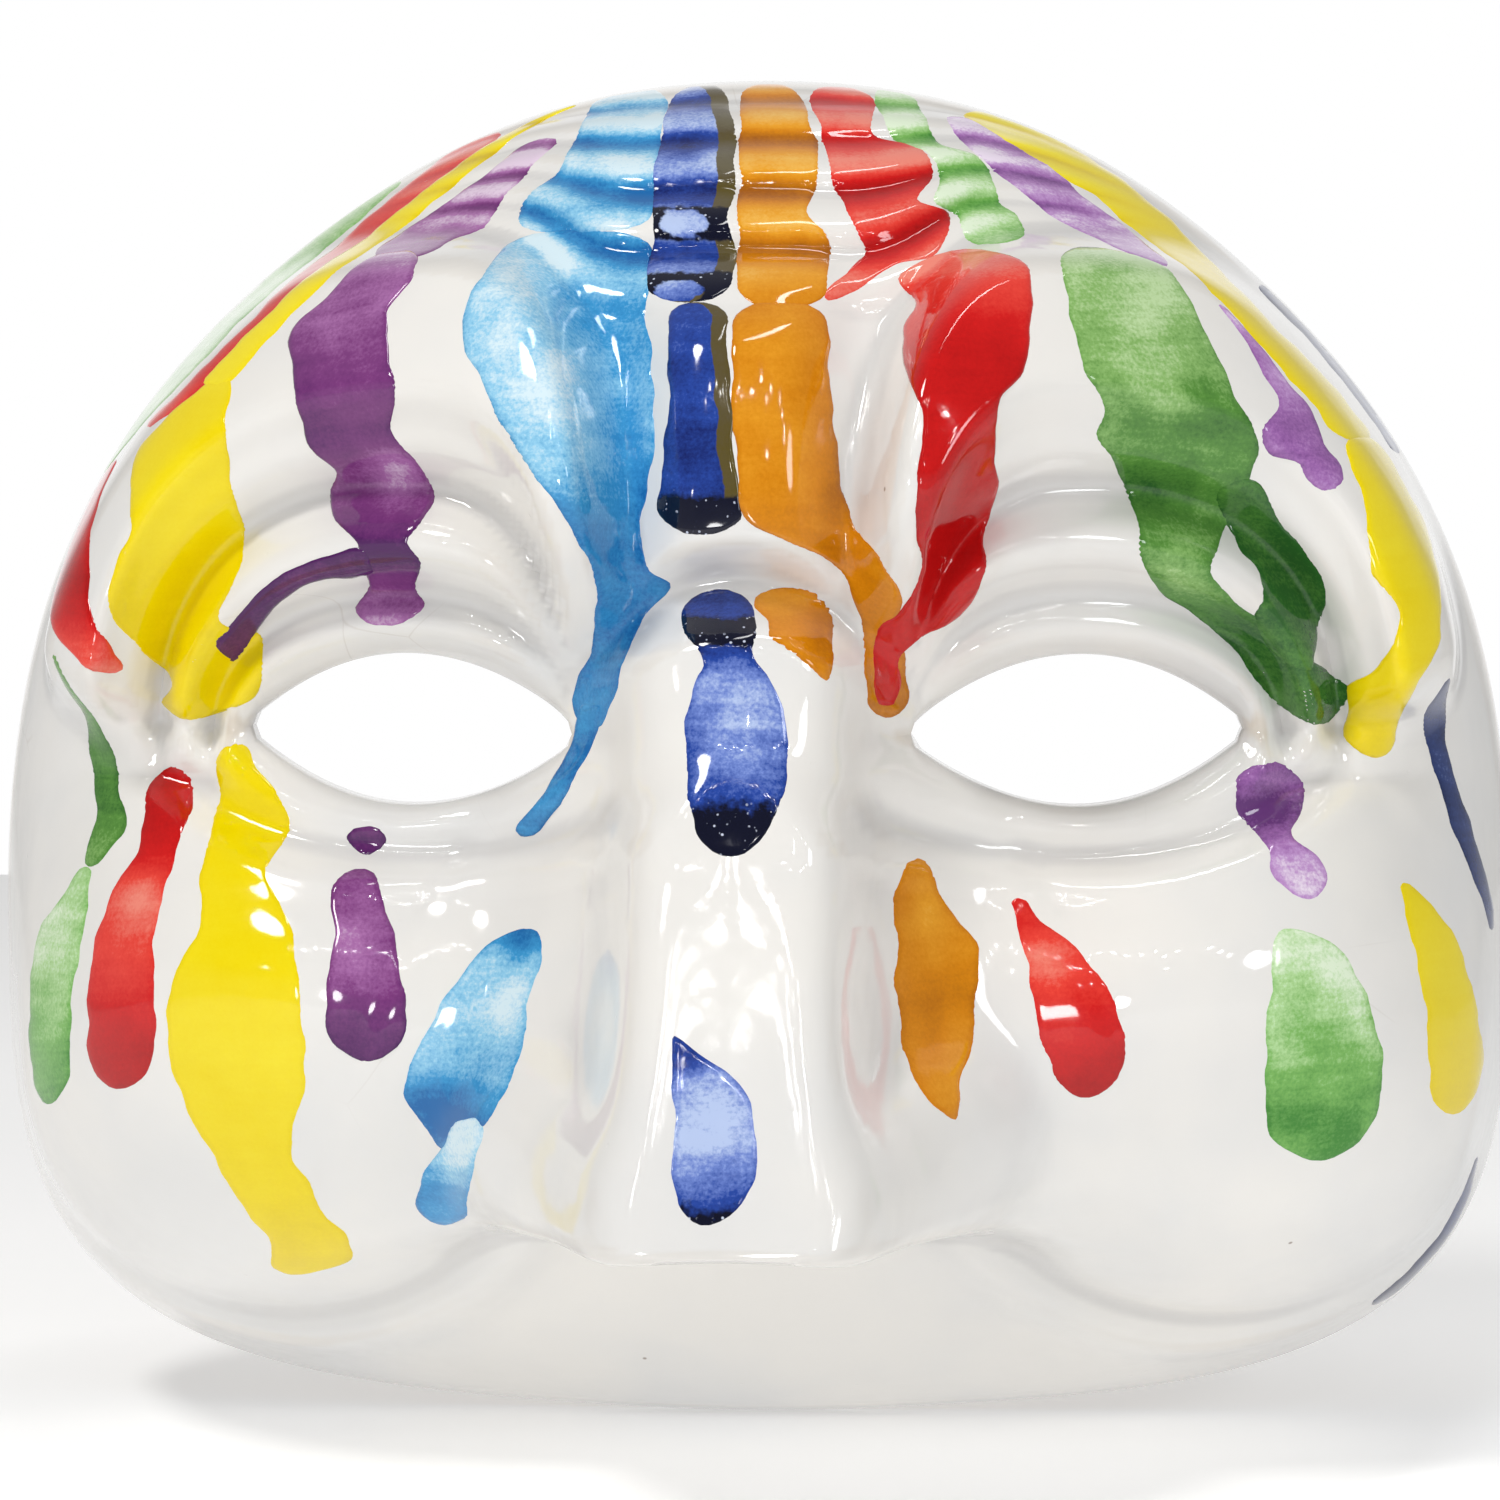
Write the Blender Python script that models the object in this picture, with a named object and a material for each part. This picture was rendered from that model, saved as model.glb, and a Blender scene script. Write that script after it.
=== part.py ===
"""Glazed ceramic carnival half mask that hangs on a wall.

A slip-cast clay shell with two eye holes and a flat back rim, painted with separate running strokes
of coloured glaze, and a clay lug with a steel ring inside the forehead.
Metres, +Z up, the face looks to -Y.  The origin is the middle of the flat back rim at its top, in the wall plane.
"""

import math

import bmesh
import bpy
import numpy as np
from mathutils import Vector
from mathutils.bvhtree import BVHTree

MM = 0.001

# ---- sizes, millimetres: x to the side, z up from the line through the eyes, depth forward of the wall
RIM_TOP = 72.0
RIM_CENTRE_Z = -25.0
RIM_HALF_WIDTH = 87.0
RIM_DROP = 56.0
RIM_ROUND_TOP = 2.2
RIM_ROUND_FOOT = 3.4
CHIN_SWELL = 1.3

WALL = 4.4
ORIGIN_Z = RIM_TOP - 0.5 * WALL
HOLLOW_LIP = 0.4
SHELL_TRIANGLES = 9000
HOLLOW_TRIANGLES = 2200

EYE_X = 35.5
EYE_HALF_WIDTH = 17.8
EYE_UPPER = 8.2
EYE_LOWER = 8.0
EYE_BLUNT = 0.9

BROW_HEIGHT = 13.0
NOSE_TOP = 14.0
NOSE_TIP = -48.0
FURROWS = 5
FURROW_DEPTH = 2.6

GLAZE_GAP = 0.45
GLAZE_THICK = 0.6
GLAZE_EDGE = 0.3
REACH = 3.0
MOST_LIFT = 2.8
ROW_STEP = 2.3
ROW_STEP_FOLDED = 1.5

LUG_HALF_WIDTH = 3.5
LUG_RADIUS = 5.0
LUG_DEPTH = 8.5
LUG_HOLE_Z = 52.0
LUG_HOLE_RADIUS = 2.1
RING_RADIUS = 7.2
RING_WIRE = 0.8

COLOURS = {
    "white": (0.86, 0.85, 0.82),
    "clay": (0.78, 0.70, 0.60),
    "green": (0.16, 0.44, 0.12),
    "leaf": (0.30, 0.56, 0.27),
    "red": (0.66, 0.012, 0.018),
    "yellow": (0.86, 0.70, 0.0),
    "purple": (0.16, 0.035, 0.24),
    "lilac": (0.40, 0.20, 0.48),
    "sky": (0.10, 0.42, 0.76),
    "cobalt": (0.02, 0.06, 0.32),
    "amber": (0.62, 0.22, 0.005),
    "navy": (0.02, 0.05, 0.20),
    "steel": (0.60, 0.60, 0.62),
}

# ---- strokes of coloured glaze: (name, colour, [(x, z, half width), ...]) from the top of each run down
STROKES = [
    ("green_left_forehead", "leaf", [(-46, 56.5, 2.0), (-57.5, 47.5, 2.4), (-67, 36.5, 2.2)]),
    ("green_left_temple", "green", [(-74, 6.5, 1.4), (-71.5, -3, 2.4), (-70, -12, 2.6)]),
    ("green_left_cheek", "leaf", [(-70.5, -17, 2.2), (-74, -28, 3.2), (-75, -38, 3.0)]),
    ("red_left_forehead", "red", [(-30.5, 65, 1.6), (-41, 56.5, 1.7), (-51, 46, 1.5)]),
    ("red_left_brow", "red", [(-70.0, 26, 1.9), (-72.4, 17.5, 2.5), (-71.4, 8, 2.0)]),
    ("red_left_cheek", "red", [(-60, -4, 2.3), (-61.5, -12, 2.3), (-62.5, -23, 3.2), (-63.5, -36, 3.3)]),
    ("yellow_left_forehead", "yellow", [(-20.5, 67, 1.5), (-29.5, 60.0, 1.7), (-38, 51.8, 1.7)]),
    ("yellow_left_brow", "yellow", [(-52.5, 34, 3.8), (-56.2, 26, 5.4), (-56.6, 14, 5.4), (-56.4, 2, 3.4)]),
    ("yellow_left_cheek", "yellow",
     [(-52, -2.5, 2.0), (-49.5, -10, 3.8), (-50, -20, 4.6), (-50, -32, 6.0), (-46.5, -45, 5.0), (-43.5, -57, 3.4)]),
    ("purple_left_forehead", "purple", [(-22.8, 60.0, 1.2), (-27.5, 55.2, 1.6), (-32.0, 51.0, 1.5)]),
    ("purple_left_brow", "purple",
     [(-34.5, 48, 3.6), (-38.5, 41, 5.4), (-38.5, 33, 4.6), (-37, 24, 4.6), (-35.5, 14, 3.6)]),
    ("purple_left_arm", "purple", [(-42.0, 16.5, 1.4), (-46.6, 14.6, 1.5), (-49.8, 10.0, 1.1)]),
    ("purple_left_lid", "purple", [(-37.5, -9.5, 1.6), (-37.5, -12.0, 2.0)]),
    ("purple_left_cheek", "purple", [(-37.5, -15.5, 2.4), (-37, -23, 3.8), (-37.5, -33, 3.4)]),
    ("sky_left_forehead", "sky", [(-13.2, 70, 3.0), (-14.4, 61, 3.9), (-17.2, 52, 4.3)]),
    ("sky_left_brow", "sky",
     [(-23.0, 47.5, 4.2), (-20, 37, 6.0), (-17, 28, 4.4), (-15.0, 18, 3.0), (-14.4, 9, 2.2), (-15.0, 1.5, 1.3)]),
    ("sky_left_tear", "sky", [(-17.5, -3.5, 1.2), (-19.5, -6.5, 1.7), (-22.0, -10.5, 1.2)]),
    ("sky_left_cheek", "sky", [(-20.5, -20.5, 2.8), (-25, -27, 5.0), (-29, -35.5, 3.6)]),
    ("sky_left_drip", "sky", [(-28.5, -41.5, 2.6), (-29.5, -48.5, 2.6)]),
    ("cobalt_forehead", "cobalt", [(-4.2, 71, 2.8), (-4.6, 60, 3.4), (-4.8, 47, 3.6)]),
    ("cobalt_glabella", "cobalt", [(-4.0, 42.5, 3.0), (-3.9, 31, 3.0), (-3.9, 20.5, 3.2)]),
    ("cobalt_nose_drop", "cobalt", [(-2.2, 13, 3.0), (-1.6, 7, 3.6), (-0.4, 0, 4.6), (0, -8, 3.0), (0, -12, 1.6)]),
    ("cobalt_nose_tip", "cobalt", [(-3.6, -28, 1.3), (-1.6, -36, 3.5), (-1.4, -42, 3.0)]),
    ("amber_forehead", "amber", [(3.4, 71, 3.2), (4.0, 60, 3.8), (4.6, 47, 4.2)]),
    ("amber_glabella", "amber", [(4.4, 42.5, 4.0), (4.9, 31, 4.4), (7.4, 24, 2.6), (9.2, 19.8, 1.2)]),
    ("amber_nose", "amber", [(4.6, 12.0, 2.2), (6.8, 6.5, 1.3)]),
    ("amber_cheek", "amber", [(18, -13, 1.8), (20, -21, 3.6), (20.5, -30, 3.2), (20.8, -37, 1.2)]),
    ("red_right_forehead", "red", [(10.8, 70, 2.4), (13.5, 61, 4.0), (15.5, 52, 4.4)]),
    ("red_right_brow", "red",
     [(22.5, 47.5, 5.0), (23.6, 38, 5.4), (23.2, 29, 4.1), (22.4, 20, 3.0), (20.6, 12.5, 2.0), (19.4, 7.5, 1.3)]),
    ("red_right_cheek", "red", [(29, -16.5, 1.2), (33, -24.5, 3.8), (36.5, -34, 4.0)]),
    ("green_right_forehead", "leaf", [(17.6, 69.3, 2.2), (22.3, 60.5, 3.0), (25.2, 54, 3.2)]),
    ("green_right_brow", "green",
     [(37, 48, 4.8), (42, 39, 6.4), (43, 30, 5.4), (46, 21, 5.2), (52.5, 11.5, 3.2), (58.0, 4.0, 1.7)]),
    ("green_right_arm", "green", [(56.5, 25.0, 1.2), (60.0, 20.0, 1.5), (62.4, 14.5, 1.2)]),
    ("green_right_cheek", "leaf", [(56.5, -20.5, 2.8), (60.3, -29, 5.3), (60.8, -41, 4.8)]),
    ("lilac_right_forehead", "lilac", [(24.0, 66.3, 1.4), (31.5, 58.5, 2.0), (38.5, 52.5, 2.2)]),
    ("lilac_right_brow", "lilac", [(50, 43, 1.5), (56, 34.5, 1.9), (61.0, 28.0, 2.2)]),
    ("lilac_right_cheek", "lilac", [(56, -4.5, 3.4), (56, -9.5, 2.6), (58.0, -15.5, 2.6)]),
    ("yellow_right_forehead", "yellow", [(29.5, 65.5, 1.6), (43.5, 55.8, 2.4), (56, 45.5, 3.0), (62.5, 38, 3.0)]),
    ("yellow_right_brow", "yellow", [(67, 30, 3.6), (70.5, 20, 4.3), (69.8, 9, 3.6), (68.8, 4.0, 2.4)]),
    ("yellow_right_cheek", "yellow", [(72.5, -17, 1.8), (75.5, -27, 3.3), (75.5, -39, 2.6)]),
    ("navy_right_forehead", "navy", [(61.2, 48.0, 1.1), (68.2, 39.0, 1.4), (74.2, 28.4, 1.2)]),
    ("navy_right_temple", "navy", [(79, 2, 1.6), (80.5, -8, 2.0), (82.0, -19, 1.3)]),
    ("navy_right_jaw", "navy", [(82.5, -52, 1.3), (78.5, -61.5, 1.8), (72.5, -67.5, 1.3)]),
]


# ---- the shape of the face: depth of the glazed surface over the wall plane


def step(low, high, value):
    t = np.clip((value - low) / (high - low), 0.0, 1.0)
    return t * t * (3.0 - 2.0 * t)


def bump(distance, width):
    return np.exp(-((distance / width) ** 2))


def rim_radius(angle):
    """Distance from the middle of the eye line to the back rim, in each direction."""
    along_x = np.cos(angle)
    along_z = np.sin(angle)
    low = np.zeros_like(angle)
    high = np.full_like(angle, 160.0)
    for _ in range(36):
        middle = 0.5 * (low + high)
        x = middle * along_x
        z = middle * along_z - RIM_CENTRE_Z
        up = z > 0
        power = np.where(up, RIM_ROUND_TOP, RIM_ROUND_FOOT)
        reach = np.where(up, RIM_TOP - RIM_CENTRE_Z, RIM_DROP + CHIN_SWELL * bump(x, 26.0))
        inside = (np.abs(x) / RIM_HALF_WIDTH) ** power + (np.abs(z) / reach) ** power < 1.0
        low = np.where(inside, middle, low)
        high = np.where(inside, high, middle)
    return 0.5 * (low + high)


def ring_height(s, z):
    """Which fold round the eye a point lies on: the height at which that fold passes over the eye."""
    across = s - EYE_X
    low = np.full_like(s, 0.5)
    high = np.full_like(s, 200.0)
    for _ in range(34):
        b = 0.5 * (low + high)
        a = EYE_HALF_WIDTH + np.where(across < 0, 0.9 * np.maximum(b - 47.0, 0.0), 0.55 * (b - 8.0))
        power = 2.0 + np.where(across < 0, 0.026, 0.012) * np.clip(b - 8.0, 0.0, 42.0)
        inside = (np.abs(across) / a) ** power + (np.abs(z) / b) ** power < 1.0
        high = np.where(inside, b, high)
        low = np.where(inside, low, b)
    return 0.5 * (low + high)


def skull(s, z, rho, angle):
    """The plain dome that the features stand on."""
    up = step(0.1, 0.95, np.sin(angle))
    down = step(0.35, 0.95, -np.sin(angle))
    side = 1.0 - up - down
    bulge = 2.6 * up + 3.6 * side + 2.8 * down
    edge = 1.75 * up + 1.9 * side + 1.6 * down
    height = (37.0 + 17.0 * step(-66.0, 30.0, z)) * (1.0 - 0.13 * step(15.0, 70.0, s))
    return height * np.clip(1.0 - rho**bulge, 0.0, 1.0) ** (1.0 / edge)


def brows(s, z, q):
    lowest = -3.0 + 0.011 * np.maximum(s - 50.0, 0.0) ** 2
    above = step(-5.0, 5.0, z - lowest)
    inner = 1.0 - (1.0 - step(6.0, 28.0, z)) * (1.0 - step(17.0, 26.0, s))
    mass = BROW_HEIGHT * step(27.0, 38.5, q) * (1.0 - step(49.0, 55.5, q))
    folds = 2.2 * bump(q - 11.8, 2.3) + 4.2 * bump(q - 21.0, 4.0) + 2.6 * bump(q - 30.5, 2.6)
    grooves = 1.6 * bump(q - 16.0, 1.8) + 1.0 * bump(q - 26.4, 1.8)
    return above * inner * (mass + folds - grooves)


def eyelids(s, z):
    socket = np.exp(-(np.hypot((s - EYE_X) / 26.0, (z + 1.0) / 17.0) ** 3.0))
    around = np.hypot((s - EYE_X) / 2.1, z)
    below = 1.0 - step(-5.0, 0.5, z)
    bag = 1.8 * bump(around - 9.6, 1.8) - 0.8 * bump(around - 13.2, 1.4) + bump(around - 15.8, 1.6)
    outside = step(54.0, 59.0, s) * (1.0 - step(66.0, 78.0, s))
    upper_line = z + 0.5 - 0.10 * (s - 54.0)
    lower_line = z + 6.5 - 0.06 * (s - 52.0)
    creases = 1.6 * bump(upper_line, 1.5) + 1.1 * bump(lower_line, 1.5)
    return below * bag - 8.0 * socket - outside * creases


def glabella(s, z):
    strip = np.exp(-((s / 9.5) ** 4.0))
    return 6.0 * strip * step(16.5, 21.0, z + 0.03 * s * s) * (1.0 - step(40.0, 52.0, z))


def cheeks(s, z):
    ball = 17.0 * np.exp(-(np.hypot((s - 54.0) / 33.0, (z + 38.0) / 28.0) ** 3.0) * 1.1)
    under = np.hypot((s - 54.0) / 34.0, (z + 37.0) / 31.5) * 31.0
    low = 1.0 - step(-60.0, -48.0, z)
    return ball + low * (2.5 * bump(under - 33.5, 2.6) - 1.5 * bump(under - 29.5, 2.0))


def nose(s, z):
    along = np.clip((NOSE_TOP - z) / (NOSE_TOP - NOSE_TIP), 0.0, 1.0)
    rise = 7.0 + 13.0 * along + 34.0 * along**1.5
    half = 11.6 + 1.5 * along + 2.6 * step(0.6, 1.0, along)
    plane = 1.0 / (1.0 + (s / half) ** 8.0)
    flank = 1.0 / (1.0 + (s / (16.0 + 9.0 * along)) ** 6.0)
    share = 0.66 - 0.16 * along
    root = 1.0 - step(10.0, 16.5, z + 0.03 * s * s)
    foot = step(-54.0, -48.0, z + 0.004 * s * s)
    wing = 7.0 * np.exp(-(np.hypot((s - 21.5) / 8.5, (z + 42.0) / 10.5) ** 4.0))
    return (plane * share + flank * (1.0 - share)) * rise * root * foot + wing * foot


def furrows(s, z, q, rim_gap):
    """Wrinkles across the forehead, from the brows to the rim."""
    centre = 1.0 - step(6.0, 26.0, s)
    beyond = np.maximum((1.0 - centre) * (q - 54.0) + centre * (z - 43.5), 0.0)
    share = beyond / (beyond + rim_gap + 1e-6)
    phase = FURROWS * (1.0 - np.clip(1.0 - share, 0.0, 1.0) ** (1.0 / 1.3))
    ridge = np.abs(np.sin(math.pi * phase)) ** 0.75
    strength = step(4.0, 20.0, beyond + rim_gap) * step(0.0, 2.0, beyond)
    strength = strength * step(0.0, 3.0, rim_gap) * step(0.0, 16.0, z)
    return FURROW_DEPTH * strength * (ridge - 0.7)


def depth_at(x, z, with_furrows=True):
    """Depth of the glazed surface over each point of the wall plane, millimetres."""
    x = np.asarray(x, dtype=float)
    z = np.asarray(z, dtype=float)
    s = np.sqrt(x * x + 0.6)
    angle = np.arctan2(z, x)
    radius = rim_radius(angle)
    rho = np.clip(np.hypot(x, z) / radius, 0.0, 1.0)
    rim_gap = (1.0 - rho) * radius
    fade = step(0.0, 8.0, rim_gap)
    q = ring_height(s, np.maximum(z + 1.0, 0.01))
    depth = skull(s, z, rho, angle) + eyelids(s, z) * fade + glabella(s, z) + nose(s, z)
    depth = depth + fade * (brows(s, z, q) + cheeks(s, z))
    if with_furrows:
        depth = depth + furrows(s, z, q, rim_gap)
    return np.maximum(depth, 0.0)


def inner_depth_at(x, z, wall):
    """Depth of the hollow: the glazed surface moved in by the wall, measured square to it."""
    depth = depth_at(x, z) - wall
    for ring in (0.45, 0.8, 1.0):
        for turn in range(12):
            angle = 2.0 * math.pi * turn / 12.0
            near_x = x + wall * ring * math.cos(angle)
            near_z = z + wall * ring * math.sin(angle)
            outside = np.hypot(near_x, near_z) > rim_radius(np.arctan2(near_z, near_x))
            near = np.where(outside, 0.0, depth_at(near_x, near_z)) - wall * math.sqrt(1.0 - ring * ring)
            depth = np.minimum(depth, near)
    return np.maximum(depth, -HOLLOW_LIP)


# ---- helpers


def clear_scene():
    for item in list(bpy.data.objects):
        bpy.data.objects.remove(item, do_unlink=True)


def material(name, colour, roughness, metallic=0.0):
    made = bpy.data.materials.get(name) or bpy.data.materials.new(name)
    made.use_nodes = True
    shader = made.node_tree.nodes["Principled BSDF"]
    shader.inputs["Base Color"].default_value = (*COLOURS[colour], 1.0)
    shader.inputs["Roughness"].default_value = roughness
    shader.inputs["Metallic"].default_value = metallic
    made.diffuse_color = (*COLOURS[colour], 1.0)
    return made


def to_world(x, depth, z):
    return (x * MM, -depth * MM, (z - ORIGIN_Z) * MM)


def object_from(name, points, faces, paint):
    """An object from points in face millimetres (x, depth, z)."""
    mesh = bpy.data.meshes.new(name)
    mesh.from_pydata([to_world(*point) for point in points], [], faces)
    body = bmesh.new()
    body.from_mesh(mesh)
    bmesh.ops.remove_doubles(body, verts=body.verts, dist=1e-7)
    bmesh.ops.recalc_face_normals(body, faces=body.faces)
    if body.calc_volume(signed=True) < 0:
        bmesh.ops.reverse_faces(body, faces=body.faces)
    body.to_mesh(mesh)
    body.free()
    mesh.materials.append(paint)
    made = bpy.data.objects.new(name, mesh)
    bpy.context.scene.collection.objects.link(made)
    return made


def apply_boolean(target, other, operation):
    change = target.modifiers.new("cut", "BOOLEAN")
    change.solver = "EXACT"
    change.operation = operation
    change.object = other
    bpy.context.view_layer.update()
    shape = bpy.data.meshes.new_from_object(target.evaluated_get(bpy.context.evaluated_depsgraph_get()))
    target.modifiers.remove(change)
    old = target.data
    target.data = shape
    bpy.data.meshes.remove(old)
    bpy.data.objects.remove(other, do_unlink=True)


def simplified(target, triangles):
    """Keeps the form of a dense mesh with fewer triangles, and its back edge in the wall plane."""
    target.data.calc_loop_triangles()
    change = target.modifiers.new("simplify", "DECIMATE")
    change.ratio = triangles / len(target.data.loop_triangles)
    bpy.context.view_layer.update()
    shape = bpy.data.meshes.new_from_object(target.evaluated_get(bpy.context.evaluated_depsgraph_get()))
    target.modifiers.remove(change)
    old = target.data
    target.data = shape
    bpy.data.meshes.remove(old)
    for vertex in shape.vertices:
        if abs(vertex.co.y) < 0.05 * MM:
            vertex.co.y = 0.0
    return target


def square_to_outline(across, up, shrink):
    """Points of a grid spread over the outline of the rim, pulled in by a distance."""
    u, v = np.meshgrid(across, up)
    disc_x = u * np.sqrt(1.0 - v * v / 2.0)
    disc_z = v * np.sqrt(1.0 - u * u / 2.0)
    rho = np.hypot(disc_x, disc_z)
    angle = np.arctan2(disc_z, disc_x)
    radius = rim_radius(angle) - shrink
    return rho * radius * np.cos(angle), rho * radius * np.sin(angle)


def spread(count, ends):
    """Positions from -1 to 1, closer together near the ends."""
    t = np.linspace(-1.0, 1.0, count)
    return (1.0 - ends) * t + ends * np.sin(0.5 * math.pi * t)


def dome(name, across, up, shrink, depth_of, edge_depth, back, paint):
    """A closed solid: a curved front over a grid, straight sides and a flat back at a depth."""
    x, z = square_to_outline(across, up, shrink)
    depth = depth_of(x, z)
    rows, columns = x.shape
    edge_ring = [(0, i) for i in range(columns)] + [(j, columns - 1) for j in range(1, rows)]
    edge_ring += [(rows - 1, i) for i in range(columns - 2, -1, -1)] + [(j, 0) for j in range(rows - 2, 0, -1)]
    for j, i in edge_ring:
        depth[j, i] = edge_depth
    points = [(x[j, i], depth[j, i], z[j, i]) for j in range(rows) for i in range(columns)]
    faces = []
    for j in range(rows - 1):
        for i in range(columns - 1):
            k = j * columns + i
            a, b, c, d = k, k + 1, k + columns + 1, k + columns
            # split each quad along its flatter diagonal
            if abs(points[a][1] - points[c][1]) < abs(points[b][1] - points[d][1]):
                faces += [(a, b, c), (a, c, d)]
            else:
                faces += [(a, b, d), (b, c, d)]
    ring = [j * columns + i for j, i in edge_ring]
    if back < edge_depth:
        first = len(points)
        points += [(points[k][0], back, points[k][2]) for k in ring]
        for n in range(len(ring)):
            after = (n + 1) % len(ring)
            faces.append((ring[n], first + n, first + after, ring[after]))
        ring = list(range(first, len(points)))
    faces.append(tuple(reversed(ring)))
    return object_from(name, points, faces, paint)


def eye_prism(side):
    """The lens-shaped prism that opens one eye hole."""
    count = 14
    outline = []
    for k in range(count + 1):
        t = -1.0 + 2.0 * k / count
        outline.append((t, EYE_BLUNT + (EYE_UPPER - EYE_BLUNT) * (1.0 - t * t)))
    for k in range(count + 1):
        t = 1.0 - 2.0 * k / count
        outline.append((t, -EYE_BLUNT - (EYE_LOWER - EYE_BLUNT) * (1.0 - t * t)))
    points = []
    for depth in (-10.0, 90.0):
        points += [(side * (EYE_X + t * EYE_HALF_WIDTH), depth, z) for t, z in outline]
    n = len(outline)
    faces = [tuple(range(n)), tuple(range(2 * n - 1, n - 1, -1))]
    faces += [(k, n + k, n + (k + 1) % n, (k + 1) % n) for k in range(n)]
    return object_from("eye_prism", points, faces, material("helper", "clay", 0.5))


# ---- pieces


def make_shell():
    """The fired clay body with its white glaze: hollow, open at the back, two eye holes."""
    paint = material("white_glaze", "white", 0.08)
    shell = dome("mask_shell", spread(181, 0.5), spread(171, 0.5), 0.0, depth_at, 0.0, 0.0, paint)
    simplified(shell, SHELL_TRIANGLES)

    def hollow(x, z):
        return inner_depth_at(x, z, WALL)

    cavity = dome("cavity", spread(91, 0.4), spread(85, 0.4), WALL, hollow, -HOLLOW_LIP, -6.0, paint)
    simplified(cavity, HOLLOW_TRIANGLES)
    apply_boolean(shell, cavity, "DIFFERENCE")
    for side in (-1.0, 1.0):
        apply_boolean(shell, eye_prism(side), "DIFFERENCE")
    return shell


def smooth_path(knots, spacing):
    """Rows (x, z, half width) along a smooth curve through the knots."""
    knots = np.array(knots, dtype=float)
    length = np.concatenate([[0.0], np.cumsum(np.hypot(np.diff(knots[:, 0]), np.diff(knots[:, 1])))])
    slope = np.gradient(knots, length, axis=0)
    count = max(4, int(round(length[-1] / spacing)) + 1)
    rows = []
    for t in np.linspace(0.0, length[-1], count):
        k = min(int(np.searchsorted(length, t, side="right")) - 1, len(length) - 2)
        gap = length[k + 1] - length[k]
        f = (t - length[k]) / gap
        start = (2 * f**3 - 3 * f**2 + 1) * knots[k] + (f**3 - 2 * f**2 + f) * gap * slope[k]
        end = (3 * f**2 - 2 * f**3) * knots[k + 1] + (f**3 - f**2) * gap * slope[k + 1]
        rows.append(start + end)
    return np.array(rows)


def surface_normals(x, z):
    """Unit normals (x, depth, z) of the face without its fine furrows, evened out over the grid."""
    reach = 0.9
    by_x = (depth_at(x + reach, z, False) - depth_at(x - reach, z, False)) / (2.0 * reach)
    by_z = (depth_at(x, z + reach, False) - depth_at(x, z - reach, False)) / (2.0 * reach)
    normal = np.stack([-by_x, np.ones_like(by_x), -by_z], axis=-1)
    normal = normal / np.linalg.norm(normal, axis=-1, keepdims=True)
    for _ in range(3):
        padded = np.pad(normal, ((1, 1), (1, 1), (0, 0)), mode="edge")
        normal = 2.0 * normal + padded[:-2, 1:-1] + padded[2:, 1:-1] + padded[1:-1, :-2] + padded[1:-1, 2:]
        normal = normal / np.linalg.norm(normal, axis=-1, keepdims=True)
    return normal


def depth_on(shell_tree, x, z):
    """Depth of the made shell under each point, seen from the front."""
    depth = np.zeros_like(x)
    for spot in np.ndindex(x.shape):
        start = Vector(to_world(x[spot], 150.0, z[spot]))
        hit = shell_tree.ray_cast(start, Vector((0.0, 1.0, 0.0)), 0.2)
        depth[spot] = depth_at(x[spot], z[spot]) if hit[0] is None else -hit[0].y / MM
    return depth


def lift_clear(points, normals, lift, shell_tree, shell_points):
    """Raises points of a grid along their normals until its faces clear the shell."""
    rows, columns = lift.shape
    shares = [(a / 5.0, b / 5.0) for a in range(6) for b in range(6)]
    cells = [(j, i) for j in range(rows - 1) for i in range(columns - 1)]
    low = points.reshape(-1, 3).min(axis=0) - 1.0
    high = points.reshape(-1, 3).max(axis=0) + 1.0
    near = shell_points[np.all((shell_points > low) & (shell_points < high), axis=1)]
    for _ in range(8):
        placed = points + normals * lift[..., None]
        raise_by = np.zeros_like(lift)
        faces = []
        for j, i in cells:
            k = j * columns + i
            faces += [(k, k + 1, k + columns + 1), (k, k + columns + 1, k + columns)]
            normal = normals[j, i]
            way = Vector((-normal[0], normal[1], -normal[2]))
            worst = 0.0
            for a, b in shares:
                spot = (placed[j, i] * (1 - a) + placed[j + 1, i] * a) * (1 - b)
                spot = spot + (placed[j, i + 1] * (1 - a) + placed[j + 1, i + 1] * a) * b
                hit = shell_tree.ray_cast(Vector(to_world(*(spot + normal * REACH))), way, 2.0 * REACH * MM)
                if hit[3] is not None:
                    worst = max(worst, GLAZE_GAP + REACH - hit[3] / MM)
            for corner in ((j, i), (j, i + 1), (j + 1, i + 1), (j + 1, i)):
                raise_by[corner] = max(raise_by[corner], worst)
        under = BVHTree.FromPolygons([to_world(*point) for point in placed.reshape(-1, 3)], faces)
        for point in near:
            nearest = np.argmin(np.sum((placed.reshape(-1, 3) - point) ** 2, axis=1))
            normal = normals.reshape(-1, 3)[nearest]
            way = Vector((-normal[0], normal[1], -normal[2]))
            hit = under.ray_cast(Vector(to_world(*(point + normal * REACH))), way, 2.0 * REACH * MM)
            if hit[3] is None:
                continue
            worst = 0.7 * GLAZE_GAP - REACH + hit[3] / MM
            for corner in faces[hit[2]]:
                spot = divmod(corner, columns)
                raise_by[spot] = max(raise_by[spot], worst)
        if raise_by.max() < 0.02:
            break
        lift = np.minimum(lift + raise_by, MOST_LIFT)
    return lift


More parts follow.
